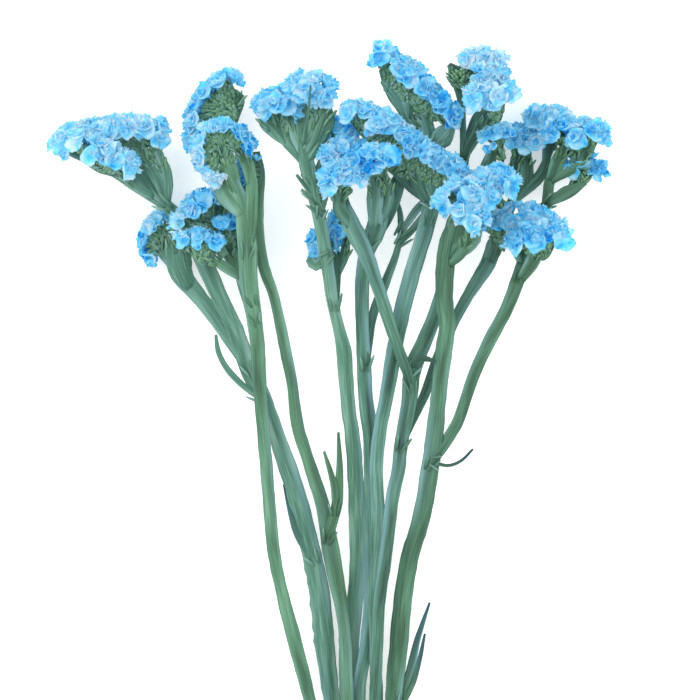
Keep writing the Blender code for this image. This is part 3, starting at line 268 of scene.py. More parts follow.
# The spikes: number, number of the stem, how far the flowers turn to face up (degrees), size, length of the
# bracts, how deep the blue is at the start and end (below 0 is paler), the line that the calyces stand on, to
# its left, and the ribs that carry it: how far along it each ends, and its first points. Spikes 4, 5 and 9
# are tight curves, so their bracts are shorter here than in the solids.
SPIKES = [
    (1, 2, 32, 1.0, 8, (-0.3, -0.3), [(-127, 308, 20), (-122, 310.5, 20), (-113, 312, 20), (-102, 314, 20),
      (-91, 312, 21)],
     [(0.97, (-85, 284, 20, 4), (-86, 297, 20, 7)), (0.76, (-85.5, 284.5, 20, 5), (-91, 298, 20, 8)),
      (0.5, (-86, 285, 20, 4), (-97, 298, 20, 7)), (0.2, (-108, 298, 19, 3), (-117, 306, 19, 4))]),
    (2, 2, 40, 0.95, 4, (-0.3, -0.1), [(-121, 307, 28), (-113, 304, 28), (-104, 299.5, 28)],
     [(0.9, (-90, 287, 20, 3), (-98, 292, 24, 5)), (0.3, (-107, 297, 19, 3), (-112, 299.5, 24, 4))]),
    (3, 1, 0, 0.9, 9, (0.1, 0.0), [(-70, 312, 17), (-70, 318, 18), (-68, 325, 19), (-63, 330.5, 19),
      (-58, 333.5, 19)],
     [(0.1, (-62, 300, 14, 4), (-66, 308, 16, 5)), (0.5, (-62, 303, 14, 5), (-61, 318, 16, 8)),
      (0.95, (-62, 305, 14, 5), (-58, 320, 16, 7), (-55, 329, 18, 6))]),
    (4, 1, 4, 0.8, 2.0, (-0.6, 0.7), [(-63, 298.5, 40), (-66.5, 303, 41), (-67.5, 308.5, 41),
      (-64.5, 312.5, 41), (-59, 312.5, 41), (-54, 308.5, 41)],
     [(0.14, (-53, 280, 37, 6), (-59, 288, 37, 10), (-62.5, 295, 38, 4)),
      (0.4, (-54, 287, 37, 5), (-61, 300, 39, 6)), (0.9, (-49, 292, 38, 4), (-50.5, 300, 39, 5))]),
    (5, 3, 5, 0.75, 1.5, (0.4, 0.6), [(-50, 290, 28), (-49.5, 296, 28), (-49, 302, 28)],
     [(0.3, (-47, 280, 27, 4), (-48, 286, 27, 4))]),
    (6, 1, 15, 0.9, 7, (0.0, 0.1), [(-77, 275.5, 25), (-73.5, 279, 25), (-70, 283, 25), (-66, 284, 25)],
     [(0.3, (-62, 269, 21, 4), (-69, 275, 22, 6)), (0.85, (-62, 270, 21, 4), (-64, 276, 22, 5))]),
    (7, 1, 10, 0.85, 4, (0.2, 0.4), [(-75, 266, 32), (-70, 266, 32), (-66, 265.5, 32)],
     [(0.5, (-53, 253, 29, 4), (-61, 258, 30, 5))]),
    (8, 1, 15, 0.85, 4, (0.3, 0.4), [(-60.5, 272, 26), (-56, 271, 26)],
     [(0.5, (-53, 255, 29, 3), (-57, 262, 26, 4))]),
    (9, 2, 4, 0.8, 2.5, (0.4, 0.0), [(-90, 264.5, 7.98), (-91, 268, 7.98), (-89.5, 272.5, 7.98),
      (-86, 275.5, 7.98), (-82, 276.5, 7.98)],
     [(0.5, (-81, 257, 9, 5), (-87, 265, 8, 6)), (0.85, (-80, 256, 9, 5), (-82, 267, 8, 7))]),
    (10, 4, 38, 1.0, 8, (0.1, 0.3), [(-40, 324, 36), (-36.5, 325, 36), (-32.5, 324.5, 36)],
     [(0.4, (-27, 301, 38, 3), (-35.5, 313, 36, 5)), (0.9, (-26, 303, 38, 4), (-30, 312, 37, 6))]),
    (11, 4, 42, 1.05, 7, (-0.1, 0.1), [(-28, 330, 41), (-25, 331, 41), (-21.5, 330, 41)],
     [(0.35, (-27, 306, 38, 4), (-27, 318, 39, 7)), (0.85, (-25, 302, 38, 4), (-20, 314, 39, 7))]),
    (12, 4, 25, 0.85, 4, (0.3, 0.3), [(-15.5, 312.5, 31), (-12.5, 313, 31), (-9.5, 312.5, 31)],
     [(0.4, (-23, 293, 37, 3), (-18, 303, 34, 5))]),
    (13, 4, 20, 0.75, 4, (0.4, 0.3), [(-18.5, 263, 26), (-19.5, 268, 26)],
     [(0.5, (-17.5, 257, 34, 3), (-16.5, 261, 29, 4))]),
    (14, 4, 15, 0.8, 4, (0.3, 0.2), [(-10.5, 270, 24), (-11.5, 276, 24)],
     [(0.5, (-13.5, 253, 27, 3), (-9.5, 264, 23.5, 4))]),
    (15, 7, 25, 1.05, 5, (-0.1, 0.4), [(-13.5, 302, 41), (-9.5, 303.5, 40), (-6, 303.5, 40)],
     [(0.4, (-8, 278, 46, 5), (-12, 289, 45, 6))]),
    (16, 7, 45, 1.05, 5, (0.2, 0.0), [(-13, 292.5, 54), (-10.5, 293.5, 54), (-8, 293.5, 54)],
     [(0.5, (-7, 275, 46, 5), (-12, 282, 49, 6))]),
    (17, 5, 40, 1.05, 5, (0.7, 0.3), [(-1, 299, 52), (2.5, 300, 52), (6, 300.5, 52)],
     [(0.45, (3, 274, 37, 6), (3, 286, 43, 8)), (0.9, (4, 276, 37, 5), (8, 287, 43, 6))]),
    (18, 6, 22, 0.98, 8, (-0.1, 0.3), [(-6, 319.5, 40), (-0.5, 317.5, 40), (5.5, 314.5, 40),
      (12.5, 309.5, 40), (19, 304.5, 40), (26, 300, 40), (33, 296.5, 40), (39, 291.5, 40)],
     [(0.3, (10, 301, 36, 4), (5, 308, 37, 6)), (0.66, (26, 284, 38, 5), (21, 294, 38, 7)),
      (0.86, (26, 284, 38, 5), (29.5, 288, 38, 7))]),
    (19, 6, 23, 1.08, 7, (-0.1, 0.8), [(6, 342.5, 28), (12.5, 337.5, 28), (18.5, 332.5, 28), (24, 326.5, 28),
      (28.5, 323.5, 28), (31, 321.5, 28)],
     [(0.15, (8, 331, 27, 3), (9, 335, 27, 5)), (0.42, (17, 319, 27, 4), (17, 327, 27, 6)),
      (0.65, (27, 308, 28, 4), (24, 317, 27, 7)), (0.93, (33, 313, 28, 3), (34, 316, 28, 3))]),
    (20, 7, 14, 0.92, 7, (-0.5, -0.3), [(43.5, 342, 22), (47.5, 342.4, 22), (51.5, 342, 22)],
     [(0.12, (38, 332, 22, 3), (38, 337, 22, 5)), (0.6, (39, 328, 22, 3), (47, 335, 20, 5))]),
    (21, 7, 50, 0.85, 4, (-0.3, -0.2), [(48.5, 336.5, 30), (53.5, 336.5, 30)],
     [(0.4, (40, 306, 21, 3), (46, 320, 22, 5), (51, 328, 24, 4))]),
    (22, 7, 38, 1.0, 7, (-0.4, -0.2), [(46, 326.5, 36), (51.5, 327, 36), (56.5, 327.5, 36)],
     [(0.6, (40, 303, 21, 4), (45, 312, 25, 5), (50, 320, 29, 6))]),
    (23, 7, 20, 0.85, 6, (0.5, 0.3), [(52, 311, 24), (56, 311.5, 24)],
     [(0.5, (50.5, 299, 21, 4), (52, 304, 22, 5))]),
    (24, 7, 35, 0.95, 7, (0.2, 0.3), [(62.5, 310, 8), (68.5, 310, 8)],
     [(0.15, (62, 287, 12, 4), (62, 297, 10, 6)), (0.75, (66, 291, 10, 4), (67, 298, 9, 6))]),
    (25, 7, 15, 1.05, 6, (0.1, -0.1), [(74, 317, 8.56), (80, 317, 8.56)],
     [(0.4, (75, 302, 9, 3), (76.5, 310, 9, 5))]),
    (26, 8, 35, 1.0, 8, (0.2, 0.1), [(80, 311.5, 18), (87, 312, 18), (96, 312, 18)],
     [(0.25, (77, 294, 14, 4), (80, 302, 15, 6)), (0.75, (77, 294, 14, 4), (89, 302, 15, 6))]),
    (27, 8, 38, 0.78, 4, (0.5, 0.6), [(87, 299, 9), (89.5, 301, 9), (92.5, 301, 9), (95, 298.5, 9)],
     [(0.4, (76, 287, 16, 3), (84, 289, 11, 4), (88, 293, 9.5, 5))]),
    (28, 8, 38, 1.05, 7, (0.1, 0.3), [(51, 290.5, 47), (53.5, 291, 47), (56, 290.5, 47)],
     [(0.5, (35, 272, 46, 4), (46, 279, 45, 6), (51, 284, 46, 5))]),
    (29, 8, 45, 1.0, 7, (-0.2, -0.1), [(34, 284, 55), (40, 286, 55), (47, 284.5, 55)],
     [(0.45, (34, 266, 44, 5), (37, 275, 49, 9)), (0.8, (34, 262, 44, 5), (43, 270, 48, 9))]),
    (30, 8, 50, 0.85, 4, (-0.1, 0.0), [(41, 277, 61), (45.5, 277, 61)],
     [(0.5, (34, 258, 43, 3), (40, 265, 53, 5))]),
    (31, 8, 32, 1.05, 7, (0.0, 0.0), [(61, 275.5, 36), (66, 276, 36), (71, 274.5, 36), (75, 272, 36)],
     [(0.2, (65, 258, 37, 4), (62, 267, 36, 6)), (0.75, (65, 258, 37, 4), (71, 268, 36, 7))]),
    (32, 8, 35, 1.0, 5, (0.2, 0.3), [(64, 266.5, 47), (70, 267.5, 47), (77, 268, 47)],
     [(0.4, (64, 252, 37, 4), (69, 260, 42, 6))]),
    (33, 7, 10, 0.85, 5, (0.3, 0.3), [(51.5, 272, 31), (56, 273, 31)],
     [(0.5, (51, 260, 22, 5), (53, 266, 26, 7))]),
]

# How pale (above 0) or dark each stem is, and how fresh its green is
STEM_SHADES = {"stem_1": (0.0, 0.4), "stem_2": (0.6, 0.1), "stem_3": (-0.8, 0.4), "stem_4": (0.4, 0.2),
               "stem_5": (0.0, 0.05), "stem_6": (0.3, 0.0), "stem_7": (-0.5, 0.1), "stem_8": (-0.8, 0.3)}

# From where to where up a stem its left wing is toothed
TEETH = {"stem_2": (78, 136)}

# The thin leaves that have dried dark blue-green at the tip: stem, and which of its routes
DARK_LEAVES = {("stem_4", 16), ("stem_8", 4), ("stem_8", 5), ("stem_8", 6), ("stem_2", 3)}

# Green wings and one thin dark stem, which the solids don't have. They lie against their stem's heads.
FINE_WINGS = {"stem_1": [
    [(-54, 288, 37, 4), (-58, 297, 38, 8), (-60, 305, 40, 7), (-60, 309, 40.5, 3)],
    [(-55, 261, 27, 4), (-59.5, 270, 23, 8), (-62, 278, 21, 9), (-62, 286, 20, 4)],
    [(-60, 262, 30, 4), (-66, 269, 28, 8), (-72, 273, 28, 7), (-77, 275, 28, 3)],
], "stem_2": [
    [(-75, 249, 12, 5), (-79, 258, 13, 10), (-80, 268, 13, 12), (-79, 276, 13, 5)],
], "stem_4": [
    [(-34, 309, 36.5, 3), (-38, 314, 36.5, 8), (-42, 319, 37, 9), (-43.5, 322, 37, 4)],
    [(-26, 304, 38, 4), (-22, 311, 39.5, 8), (-19, 319, 41, 10), (-17.5, 325, 42, 4)],
    [(-27, 309, 40, 2.4), (-25.5, 318, 47, 1.4), (-24.5, 326, 52, 1), (-24, 333, 54, 0.6)],
]}

# Round green buds: stem, middle, the direction they point and radius
BUDS = [
    ("stem_7", (38.5, 338, 24), (-0.15, 1, 0.1), 5.4),
    ("stem_8", (91, 297, 10.5), (0.25, 1, 0.1), 4.2),
]


def unit(v):
    return v / np.maximum(np.linalg.norm(v, axis=-1, keepdims=True), 1e-9)


def smooth_rows(points, step):
    """Rows about a step apart on a smooth curve through the points. The other columns follow."""
    rows = np.array(points, float)
    rows = np.vstack([2 * rows[0] - rows[1], rows, 2 * rows[-1] - rows[-2]])
    samples = []
    for before, start, end, after in zip(rows, rows[1:], rows[2:], rows[3:]):
        count = max(2, round(float(np.linalg.norm((end - start)[:3])) / step))
        t = (np.arange(count) / count)[:, None]
        samples.append(0.5 * (2 * start + (end - before) * t
                              + (2 * before - 5 * start + 4 * end - after) * t ** 2
                              + (3 * start - before - 3 * end + after) * t ** 3))
    samples.append(rows[-2][None])
    return np.vstack(samples)


def distances(points):
    steps = np.linalg.norm(np.diff(points, axis=0), axis=1)
    return np.concatenate([[0.0], np.cumsum(steps)])


def directions(centres):
    """The direction along a line at each of its points, and the level direction across it."""
    along = unit(np.gradient(centres, axis=0))
    return along, unit(np.cross(along, UP))


def wander(rng, places, length, size):
    """Smooth random values along a line: a new one each length."""
    knots = rng.uniform(-size, size, int(places[-1] / length) + 3)
    at = places / length
    i = np.floor(at).astype(int)
    f = at - i
    f = f * f * (3 - 2 * f)
    return knots[i] * (1 - f) + knots[i + 1] * f


def ring_quads(rings, sides):
    """Quads between rings of the same number of points."""
    i = np.arange(rings - 1)[:, None] * sides
    j = np.arange(sides)[None]
    k = (j + 1) % sides
    return np.stack([i + j, i + k, i + sides + k, i + sides + j], -1).reshape(-1, 4)


def flat_ends(rings, sides):
    """Triangles that close the first and the last ring without a middle point."""
    last = (rings - 1) * sides
    pairs = [(i, i + 1) for i in range(1, sides - 1)]
    return [(0, j, i) for i, j in pairs] + [(last, last + i, last + j) for i, j in pairs]


def add_object(name, data):
    thing = bpy.data.objects.new(name, data)
    bpy.context.scene.collection.objects.link(thing)
    return thing


NO_GRAIN = np.zeros((2, 3))


class Growth:
    """One mesh grown out of many parts, with what the materials read: grain, tone, tip and fresh."""

    def __init__(self):
        self.points, self.quads, self.tris = [], [], []
        self.grain, self.tone, self.tip, self.fresh = [], [], [], []
        self.count = 0

    def add(self, points, quads, tris, grain, tone, tip, fresh=0.0):
        points = points.reshape(-1, 3)
        self.points.append(points)
        self.quads.append(quads + self.count)
        self.tris.append(np.asarray(tris) + self.count)
        self.grain.append(grain.reshape(-1, 3))
        self.tone.append(np.full(len(points), tone))
        self.tip.append(np.reshape(tip, -1))
        self.fresh.append(np.broadcast_to(fresh, len(points)))
        self.count += len(points)

    def add_tube(self, points, ends, grain, tone, tip, fresh=0.0, end_tip=0.0, end_grain=NO_GRAIN):
        """A closed tube of rings, with a middle point at each end."""
        rings, sides = points.shape[:2]
        first = np.arange(sides)
        following = (first + 1) % sides
        last = (rings - 1) * sides
        start, end = np.full(sides, rings * sides), np.full(sides, rings * sides + 1)
        tris = np.concatenate([np.stack([following, first, start], 1),
                               np.stack([last + first, last + following, end], 1)])
        self.add(np.vstack([points.reshape(-1, 3), ends]), ring_quads(rings, sides), tris,
                 np.vstack([grain.reshape(-1, 3), end_grain]), tone,
                 np.concatenate([tip.reshape(-1), [0, end_tip]]), fresh)

    def build(self, name, material, nodes):
        points = np.concatenate(self.points)
        points[:, 2] = np.maximum(points[:, 2], TABLE_CLEARANCE)
        points = points * MM + ORIGIN
        quads = np.concatenate(self.quads)
        tris = np.concatenate(self.tris)
        corners = np.concatenate([quads.ravel(), tris.ravel()])
        starts = np.concatenate([np.arange(len(quads)) * 4, quads.size + np.arange(len(tris)) * 3])
        mesh = bpy.data.meshes.new(name)
        mesh.vertices.add(len(points))
        mesh.vertices.foreach_set("co", points.ravel().astype(np.float32))
        mesh.loops.add(len(corners))
        mesh.loops.foreach_set("vertex_index", corners.astype(np.int32))
        mesh.polygons.add(len(starts))
        mesh.polygons.foreach_set("loop_start", starts.astype(np.int32))
        mesh.update(calc_edges=True)
        mesh.validate()
        for label in ("grain", "tone", "tip", "fresh"):
            kind, field = ("FLOAT_VECTOR", "vector") if label == "grain" else ("FLOAT", "value")
            layer = mesh.attributes.new(label, kind, "POINT")
            layer.data.foreach_set(field, np.concatenate(getattr(self, label)).ravel().astype(np.float32))
        mesh.shade_smooth()
        mesh.materials.append(material)
        piece = add_object(name, mesh)
        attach(piece, "root")
        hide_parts(*nodes)


# A stem's section: how far across, and 1 above, -1 below or 0 on the edge
SECTION = [(1, 0), (0.86, 1), (0.62, 1), (0.36, 1), (0.14, 1), (-0.14, 1), (-0.36, 1), (-0.62, 1), (-0.86, 1),
           (-1, 0), (-0.86, -1), (-0.62, -1), (-0.3, -1), (0, -1), (0.3, -1), (0.62, -1), (0.86, -1)]


def grow_route(body, rows, rng, tone, fresh=0.0, teeth=None, dusk=0.0):
    """One winged stem, branch or leaf along its rows: wavy wings, a ribbed middle and a slight twist."""
    centres = rows[:, :3]
    half = np.maximum(rows[:, 3], EDGE_THICKNESS) / 2
    ridge = np.maximum(SLIMMEST_RIDGE, np.minimum(rows[:, 3] * STEM_FLATNESS, THICKEST_STEM) / 2)
    run = distances(centres)
    along, across = directions(centres)
    up = np.cross(across, along)
    twist = wander(rng, run, *TWIST)[:, None]
    across, up = across * np.cos(twist) + up * np.sin(twist), up * np.cos(twist) - across * np.sin(twist)
    s, level = np.array(SECTION, float).T
    middle = np.exp(-(s / RIDGE_SHARE) ** 2) * (1 + RIDGE_RELIEF * np.cos(s * RIDGE_WAVES))
    height = level * (EDGE_THICKNESS / 2 + (ridge[:, None] - EDGE_THICKNESS / 2) * middle)
    right, left = (1 + wander(rng, run, *SLOW_WING) + wander(rng, run, *RAGGED_WING) for _ in range(2))
    if teeth:
        inside = (centres[:, 1] > teeth[0]) & (centres[:, 1] < teeth[1])
        left = left + inside * TOOTH_DEPTH * np.maximum(0, np.sin(run * TOOTH_WAVES) ** 3)
    reach = np.where(s > 0, right[:, None], left[:, None]) * s
    wave = wander(rng, run, *CUP)[:, None] * s ** 2 + wander(rng, run, *WARP)[:, None] * s ** 3
    height = height + wave * half[:, None]
    points = (centres[:, None] + across[:, None] * (reach * half[:, None])[..., None]
              + up[:, None] * height[..., None])
    grain = np.stack([s * half[:, None], np.broadcast_to(run[:, None], reach.shape),
                      np.full(reach.shape, rng.uniform(0, 50))], -1)
    edge = np.broadcast_to(np.abs(s) * EDGE_TIP, reach.shape)
    darker = np.repeat(dusk * (run / run[-1]) ** DUSK_POWER, len(s))
    body.add_tube(points, centres[[0, -1]], grain, tone + rng.uniform(-STEM_SHADE, STEM_SHADE), edge,
                  fresh - np.concatenate([darker, [0, dusk]]))


# A small keeled bract: how far along its rings are, how wide they are, and each ring's four points
LEAF_RUN = np.array((0, 0.3, 0.62, 0.86, 1.0))
LEAF_WIDTH = np.array((0.7, 1.0, 1.0, 0.72, 0.12))
LEAF_RING = np.array([(1, 0), (0, 0.5), (-1, 0), (0, -0.05)])
LEAF_X, LEAF_Y = (LEAF_WIDTH[:, None] * column for column in LEAF_RING.T)
LEAF_Z = np.repeat(LEAF_RUN[:, None], len(LEAF_RING), 1)
LEAF_TIP = np.maximum(LEAF_Z ** 3, 0.75 * np.abs(LEAF_X) * LEAF_Z)
LEAF_QUADS = ring_quads(*LEAF_Z.shape)
LEAF_ENDS = flat_ends(*LEAF_Z.shape)
LEAF_SWAY = 0.5


def grow_bract(body, foot, axis, outward, length, width, curl, rng, tone, fresh):
    """One scaly bract with a keel on its outer side and a point that curls."""
    axis = unit(axis)
    outward = unit(outward - axis * np.dot(outward, axis))
    across = np.cross(axis, outward)
    sway = rng.uniform(-LEAF_SWAY, LEAF_SWAY)
    points = (foot + (LEAF_X * width / 2 + sway * LEAF_Z ** 2)[..., None] * across
              + (LEAF_Y * width / 2 + curl * LEAF_Z ** 2)[..., None] * outward
              + LEAF_Z[..., None] * axis * length)
    grain = np.stack([LEAF_X * width / 2, LEAF_Z * length, np.full(LEAF_Z.shape, rng.uniform(0, 50))], -1)
    body.add(points, LEAF_QUADS, LEAF_ENDS, grain, tone, LEAF_TIP, fresh)


# A calyx, from its foot up the outside to the rim and back over its crinkled bed: how wide and how high
LIMB_PROFILE = np.array([(0.12, 0), (0.18, 0.45), (0.42, 0.66), (0.74, 0.8), (1, 0.93), (0.84, 0.92),
                         (0.6, 0.86), (0.34, 0.82), (0.12, 0.8)])
LIMB_TIP = np.array((0, 0.3, 0.6, 0.85, 1, 0.95, 0.8, 0.65, 0.5))
LIMB_CRUMPLE = np.array((0, 0.05, 0.1, 0.12, 0.15, 0.22, 0.3, 0.3, 0.2))
# The waves of its rim, up and down in millimetres and outwards as a share: how many round it, and how large
LIMB_WAVES = ((2, 0.9), (3, 0.7), (5, 0.5))
LIMB_LOBES = ((2, 0.13), (3, 0.1), (5, 0.09))
LIMB_PLEAT = (0.1, 0.5)
LIMB_FRAY = 0.05

# A scrap of limb: how near the rim, how wide and how high. Its waves: how many round it, and their least
# strength. Then how its pleats, waves and fray spread it and raise it.
SCRAP_PROFILE = np.array([(0.4, 0.16, 0.6), (0.7, 0.6, 0.84), (1, 1, 1.0)])
SCRAP_WAVES = ((5, 0.5), (2, 0.3), (3, 0.3))
SCRAP_SPREAD = np.array((0.035, 0.1, 0.12, 0, 0.04))
SCRAP_RISE = np.array((0.36, 0.405, 0.63, 0.45, 0.135))
SCRAP_HOLE = 0.05


def rim_waves(rng, angle, waves, least):
    """A sum of waves round a rim, each with a random strength and turn."""
    return sum(rng.uniform(least, 1.0) * size * np.sin(count * angle + rng.uniform(0, FULL_TURN))
               for count, size in waves)


def cross_axes(rng, axis):
    side = unit(np.cross(axis, unit(rng.normal(size=3))))
    return side, np.cross(axis, side)


def grow_limb(body, foot, axis, length, radius, blue, rng):
    """A papery calyx: a slim tube that flares into a pleated, lobed limb with a ragged rim."""
    wide, high = (column[:, None] for column in LIMB_PROFILE.T)
    side, other = cross_axes(rng, axis)
    step = np.arange(CALYX_AROUND)
    angle = FULL_TURN * step / CALYX_AROUND
    waves = rim_waves(rng, angle, LIMB_WAVES, 0.3)
    pleat = np.where(step % 2, 1.0, -1.0) * rng.uniform(*LIMB_PLEAT, CALYX_AROUND)
    lobes = rim_waves(rng, angle, LIMB_LOBES, 0.4)
    ragged = rng.uniform(-LIMB_FRAY, LIMB_FRAY, CALYX_AROUND)
    reach = radius * wide * (1 + wide ** 2 * (lobes + ragged + LIMB_FRAY * pleat))
    crumple = LIMB_CRUMPLE[:, None] * rng.uniform(-1, 1, reach.shape)
    rise = length * high + wide ** 2 * (waves + pleat) + crumple
    east, north = reach * np.cos(angle), reach * np.sin(angle)
    points = (foot + rise[..., None] * axis + east[..., None] * side
              + (north * rng.uniform(*SQUEEZE))[..., None] * other)
    grain = np.stack([east, north, rise + rng.uniform(0, 500)], -1)
    tips = np.broadcast_to(LIMB_TIP[:, None], reach.shape)
    body.add_tube(points, points[[0, -1]].mean(axis=1), grain, blue, tips, end_tip=LIMB_TIP[-1],
                  end_grain=grain[[0, -1], 0])


def grow_scrap(body, foot, axis, length, radius, blue, rng):
    """A thin folded sheet of limb: up its outside from its foot to the rim, and down its inside."""
    t, wide, high = (column[:, None] for column in SCRAP_PROFILE.T)
    side, other = cross_axes(rng, axis)
    turn = rng.uniform(0, FULL_TURN)
    step = np.arange(SCRAP_AROUND)
    angle = FULL_TURN * step / SCRAP_AROUND + turn
    pleat = np.where(step % 2, 1.0, -1.0) * rng.uniform(0.3, 1.6, SCRAP_AROUND)
    waves = [np.sin(count * angle + rng.uniform(0, 6)) * rng.uniform(least, 1.0)
             for count, least in SCRAP_WAVES]
    forms = np.stack([pleat, *waves, rng.uniform(-1, 1, SCRAP_AROUND)])
    outside = radius * wide * (1 + t ** 2 * (SCRAP_SPREAD @ forms))
    rise = length * high + t ** 2 * (SCRAP_RISE @ forms)
    inside = np.maximum(outside - SHEET * (1.2 - t), SCRAP_HOLE)
    reach = np.vstack([outside, inside[::-1]])
    lift = np.vstack([rise, (rise + SHEET * (0.3 + t))[::-1]])
    t = np.broadcast_to(np.vstack([t, t[::-1]]), reach.shape)
    points = (foot + lift[..., None] * axis + (reach * np.cos(angle))[..., None] * side
              + (reach * np.sin(angle) * rng.uniform(*SQUEEZE))[..., None] * other)
    grain = np.stack([np.broadcast_to(angle * radius, reach.shape), t * length,
                      np.full(reach.shape, rng.uniform(0, 50))], -1)
    body.add_tube(points, points[[0, -1]].mean(axis=1), grain, blue, t)


def grow_calyx(body, foot, axis, length, radius, blue, rng):
    """One calyx, and crumpled folds of its limb that stand up beside the middle."""
    blue = blue + rng.uniform(-0.3, 0.3)
    grow_limb(body, foot, axis, length, radius, blue, rng)
    for _ in range(SCRAPS):
        lean = unit(axis + rng.normal(size=3) * SCRAP_LEAN)
        grow_scrap(body, foot, lean, length, radius * rng.uniform(*SCRAP_SIZE), blue - rng.uniform(-0.2, 0.4),
                   rng)


class Spike:
    """The line on which one spike's calyces stand, with the directions at each place on it."""

    def __init__(self, stem, facing, size, bract, blues, points, ribs):
        self.stem = f"stem_{stem}"
        self.size, self.bract, self.blues, self.ribs = size, bract, blues, ribs
        self.points = smooth_rows(points, LINE_STEP)
        self.along = unit(np.gradient(self.points, axis=0))
        left = unit(np.stack([-self.along[:, 1], self.along[:, 0], np.zeros(len(self.along))], 1))
        out = left * math.cos(math.radians(facing)) + UP * math.sin(math.radians(facing))
        self.out = unit(out - self.along * np.sum(out * self.along, axis=1, keepdims=True))
        self.run = distances(self.points)
        self.length = float(self.run[-1])

    def at(self, distance):
        """The place, the direction along and the direction outwards at a distance along the spike."""
        place, along, out = (np.array([np.interp(distance, self.run, v[:, k]) for k in range(3)])
                             for v in (self.points, self.along, self.out))
        return place, unit(along), unit(out)

    def depth(self, share):
        """How deep the green is below the calyces: deepest at the middle of the spike."""
        return 2.2 + self.bract * 1.25 * (1 - abs(2 * share - 1) ** 2.5)


def stem_rows(spikes):
    """Every route of each stem: its own, its branches and leaves, its spikes' ribs and its fine wings."""
    rows = {}
    for node, lists in STEMS.items():
        rows[node] = [smooth_rows(lists[0], STEM_STEP)]
        rows[node] += [smooth_rows(points, BRANCH_STEP) for points in lists[1:]]
    for spike in spikes.values():
        for share, *first in spike.ribs:
            place, _, out = spike.at(spike.length * share)
            end = place - out * (GAP / 2 + AXIS_DEPTH)
            rows[spike.stem].append(smooth_rows(first + [(*end, RIB_END_WIDTH)], BRANCH_STEP))
    for node, lists in FINE_WINGS.items():
        rows[node] += [smooth_rows(points, BRANCH_STEP) for points in lists]
    return rows


def blocked(rows, own, places):
    """Whether more than one of the places is inside another stem."""
    hits = 0
    for node, lists in rows.items():
        if node == own:
            continue
        for route in lists:
            centres = route[:, :3]
            along, across = directions(centres)
            apart = places[:, None] - centres[None]
            near = ((np.abs(np.sum(apart * across, -1)) < route[:, 3] / 2 + 0.3)
                    & (np.abs(np.sum(apart * along, -1)) < 2.0) & (np.abs(apart[..., 2]) < 2.2))
            hits += int(near.any(axis=1).sum())
    return hits > 1


def grow_calyces(body, spike, rows, rng):
    """Two leaning rows of calyces and a third between them; the end ones lean outwards."""
    start, end = spike.blues
    least = 3 if spike.size > SMALL_SPIKE else 2
    for row, spacing in ((-1, CALYX_SPACING), (1, CALYX_SPACING), (0, CALYX_SPACING * MIDDLE_SPACING)):
        count = max(least, round(spike.length / (spacing * spike.size)))
        for k in range(count + 1):
            share = (k + 0.25 * row) / count + rng.uniform(-0.12, 0.12) / count
            place, along, out = spike.at(spike.length * share)
            across = np.cross(along, out)
            lean = CALYX_LEAN + rng.uniform(-CALYX_WOBBLE, CALYX_WOBBLE)
            lean += CALYX_END_LEAN * ((k == count) - (k == 0))
            angle = row * CALYX_SPREAD + rng.uniform(-CALYX_WOBBLE, CALYX_WOBBLE)
            axis = unit(out * math.cos(angle) + across * math.sin(angle) + along * lean)
            size = spike.size * rng.uniform(*CALYX_SIZE)
            foot = place + out * CALYX_FOOT
            rim = foot + axis * CALYX_LENGTH * size
            sides = [rim + way * PROBE_REACH for way in (across, -across, along, -along)]
            if blocked(rows, spike.stem, np.stack([rim, foot + (rim - foot) * 0.6, *sides])):
                size *= CROWDED_SIZE
            grow_calyx(body, foot, axis, CALYX_LENGTH * size, CALYX_RADIUS * size,
                       start + (end - start) * share, rng)


def grow_core(body, roots, tops, tone):
    """A slim closed wedge from the axis to the line of the calyces, out of which the bracts stand."""
    roots, tops = np.array(roots), np.array(tops)
    along = unit(np.gradient(tops, axis=0))
    across = unit(np.cross(along, tops - roots)) * CORE_HALF
    belly = roots * (1 - CORE_BELLY) + tops * CORE_BELLY
    rings = np.stack([roots, belly + across, tops + across, tops, tops - across, belly - across], 1)
    shape = rings.shape[:2]
    body.add(rings, ring_quads(*shape), flat_ends(*shape), rings, tone, np.zeros(shape), CORE_FRESH)


def grow_bud(body, centre, axis, radius, tone, rng):
    """A round green bud of overlapping bracts round a branch's end."""
    centre, axis = np.array(centre, float), unit(np.array(axis, float))
    side = unit(np.cross(axis, UP + 0.01))
    other = np.cross(axis, side)
    for k in range(BUD_BRACTS):
        share = (k + 0.5) / BUD_BRACTS
        turn = k * GOLDEN_ANGLE
        swell = math.sin(math.pi * (0.12 + 0.6 * share))
        outward = side * math.cos(turn) + other * math.sin(turn)
        foot = centre + axis * radius * (1.5 * share - 1.1) + outward * radius * swell * 0.72
        direction = axis + outward * (1.1 - 0.6 * share) + rng.normal(size=3) * 0.2
        length = radius * rng.uniform(*BUD_BRACT_LENGTH)
        width = radius * rng.uniform(*BUD_BRACT_WIDTH)
        grow_bract(body, foot, direction, outward, length, width, 0.0, rng, tone + rng.uniform(0.2, 1.6),
                   rng.uniform(0.3, 1.4))


